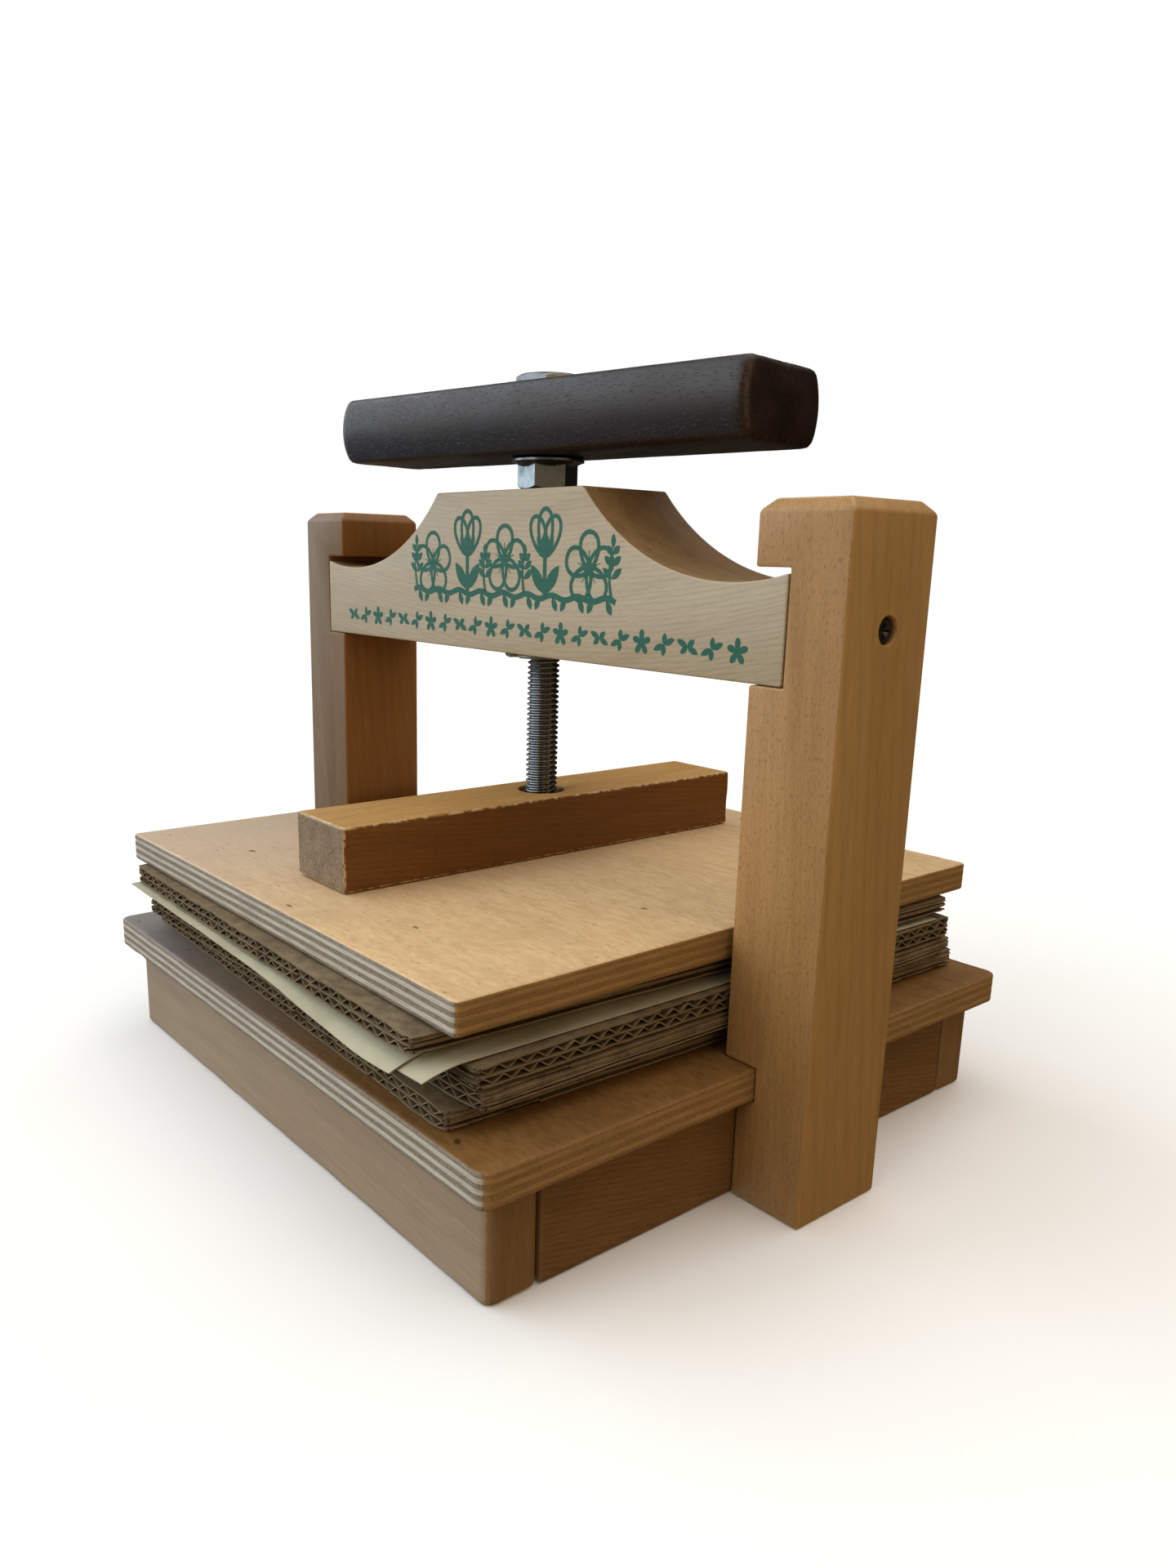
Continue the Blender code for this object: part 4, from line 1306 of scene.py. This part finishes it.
def blotting_paper(node, corners, bottom, finishes, seed):
    """A soft thin sheet, whose free front edge droops and curls a little."""
    width, depth = sizes(corners)
    columns = spread(width, 5 * MM, (0.0, 1 * MM, 3 * MM))
    rows = spread(depth, 8 * MM, (0.0, 1 * MM, 2 * MM, 3.5 * MM, 5 * MM, 7 * MM, 9 * MM, 11 * MM, 14 * MM))
    grid = []
    for y in rows:
        line = []
        for x in columns:
            p = in_pile(corners, x / width + 0.5, y / depth + 0.5, bottom + 0.2 * MM, PAPER_SAG)
            out = max(0.0, (FREE_FROM - p.y) / FREE)
            near = math.exp(-(((p.x - DROOP_X) / DROOP_SPREAD) ** 2))
            droop = DROOP_LEAST + (DROOP_MOST - DROOP_LEAST) * near
            ripple = 0.35 * MM * min(1.0, out) * wander((p.x, p.y, 0), 60, seed)
            line.append(p - Z * (droop * out**DROOP_POWER - ripple))
        grid.append(line)
    bm = bmesh.new()
    shell(bm, grid, 0.25 * MM)
    solid(node + "_sheet", bm, finishes, "cardboard_2", [node])


def make_stack():
    liner = card_liner("kraft board", (0.24, 0.178, 0.105), (0.115, 0.084, 0.050))
    for seed, (node, numbers) in enumerate(CARDBOARDS.items()):
        corrugated(node, *numbers, [liner], seed * 13.0)
    felt = paper_finish("blotting paper", (0.50, 0.475, 0.345), (0.40, 0.375, 0.26))
    for seed, (node, numbers) in enumerate(PAPERS.items()):
        blotting_paper(node, *numbers, [felt], seed * 7.0)


# ---------------------------------------------------------------- camera, lights and floor

CAMERA_AT = (0.29723, -0.24311, 0.17392)
CAMERA_YAW, CAMERA_PITCH, CAMERA_ROLL = (math.radians(a) for a in (50.5687, 13.4197, 1.2404))
LENS, SHIFT_X, SHIFT_Y = 25.99, 0.0286, 0.0283


def make_camera():
    data = bpy.data.cameras.new("camera")
    data.sensor_width, data.lens = 36, LENS
    data.shift_x, data.shift_y = SHIFT_X, SHIFT_Y
    data.clip_start = 0.01
    camera = bpy.data.objects.new("camera", data)
    forward = Vector((
        -math.sin(CAMERA_YAW) * math.cos(CAMERA_PITCH),
        math.cos(CAMERA_YAW) * math.cos(CAMERA_PITCH),
        -math.sin(CAMERA_PITCH),
    ))
    right = forward.cross(Z).normalized()
    up = right.cross(forward)
    level = Matrix((right, up, -forward)).transposed().to_4x4()
    camera.matrix_world = (
        Matrix.Translation(HOME + Vector(CAMERA_AT)) @ level @ Matrix.Rotation(CAMERA_ROLL, 4, "Z")
    )
    SCENE.collection.objects.link(camera)
    SCENE.camera = camera


def soft_sun(name, towards, softness, brightness, color, in_gloss=True):
    """Even light from one direction. A white surface that faces it looks as bright as brightness says."""
    data = bpy.data.lights.new(name, "SUN")
    data.angle = math.radians(softness)
    data.energy, data.color = math.pi * brightness, color
    lamp = bpy.data.objects.new(name, data)
    lamp.location = Vector(towards)
    lamp.rotation_euler = Vector(towards).to_track_quat("Z", "Y").to_euler()
    lamp.visible_glossy = in_gloss
    SCENE.collection.objects.link(lamp)


# what shiny surfaces reflect: a bluish window side, a warm side and a dark back
ROOM = (0.10, 0.085, 0.068)
ROOM_SIDES = (
    ((-0.85, -0.50, 0.15), (0.34, 0.43, 0.52)),
    ((0.80, -0.55, 0.15), (0.26, 0.21, 0.14)),
    ((0.10, 0.95, 0.05), (0.018, 0.016, 0.014)),
)


def make_world():
    world = bpy.data.worlds.new("studio")
    SCENE.world = world
    world.use_nodes = True
    g = Graph(world.node_tree)
    place = g.node("ShaderNodeTexCoord").outputs["Generated"]
    room = ROOM
    for towards, color in ROOM_SIDES:
        side = Vector(towards).normalized()
        facing = g.node("ShaderNodeVectorMath", {0: place, 1: side}, operation="DOT_PRODUCT")
        room = g.mix(g.ramp(facing.outputs["Value"], 0.35, 0.85), room, color)
    seen = g.node("ShaderNodeLightPath").outputs["Is Camera Ray"]
    g.put(g.tree.nodes["Background"].inputs["Color"], g.mix(seen, room, (1, 1, 1)))


def make_floor():
    bm = bmesh.new()
    size = 6.0
    corners = [bm.verts.new((x * size, y * size, -0.2 * MM)) for x, y in ((-1, -1), (1, -1), (1, 1), (-1, 1))]
    bm.faces.new(corners)
    mesh = bpy.data.meshes.new("floor")
    bm.to_mesh(mesh)
    bm.free()
    mesh.materials.append(floor_finish("floor"))
    floor = bpy.data.objects.new("floor", mesh)
    SCENE.collection.objects.link(floor)
    floor.visible_diffuse = False
    floor.visible_glossy = False


def make_studio():
    make_camera()
    make_world()
    make_floor()
    soft_sun("window", (-0.78, -0.42, 0.46), 60, 0.60, (0.84, 0.93, 1.0))
    soft_sun("front", (-0.10, -0.90, 0.42), 50, 0.34, (1.0, 0.98, 0.94))
    soft_sun("ceiling", (0.05, 0.20, 0.98), 70, 0.50, (1.0, 0.96, 0.90))
    soft_sun("warm_room", (1.0, 0.10, 0.30), 60, 0.22, (1.0, 0.66, 0.32))
    soft_sun("back", (-0.15, 0.95, 0.28), 60, 0.22, (1.0, 0.96, 0.90), in_gloss=False)
    SCENE.view_settings.view_transform = "Standard"


make_studio()
make_boards()
make_rails()
make_uprights()
make_crossbeam()
make_print()
make_metal()
make_handle()
make_press_bar()
make_stack()
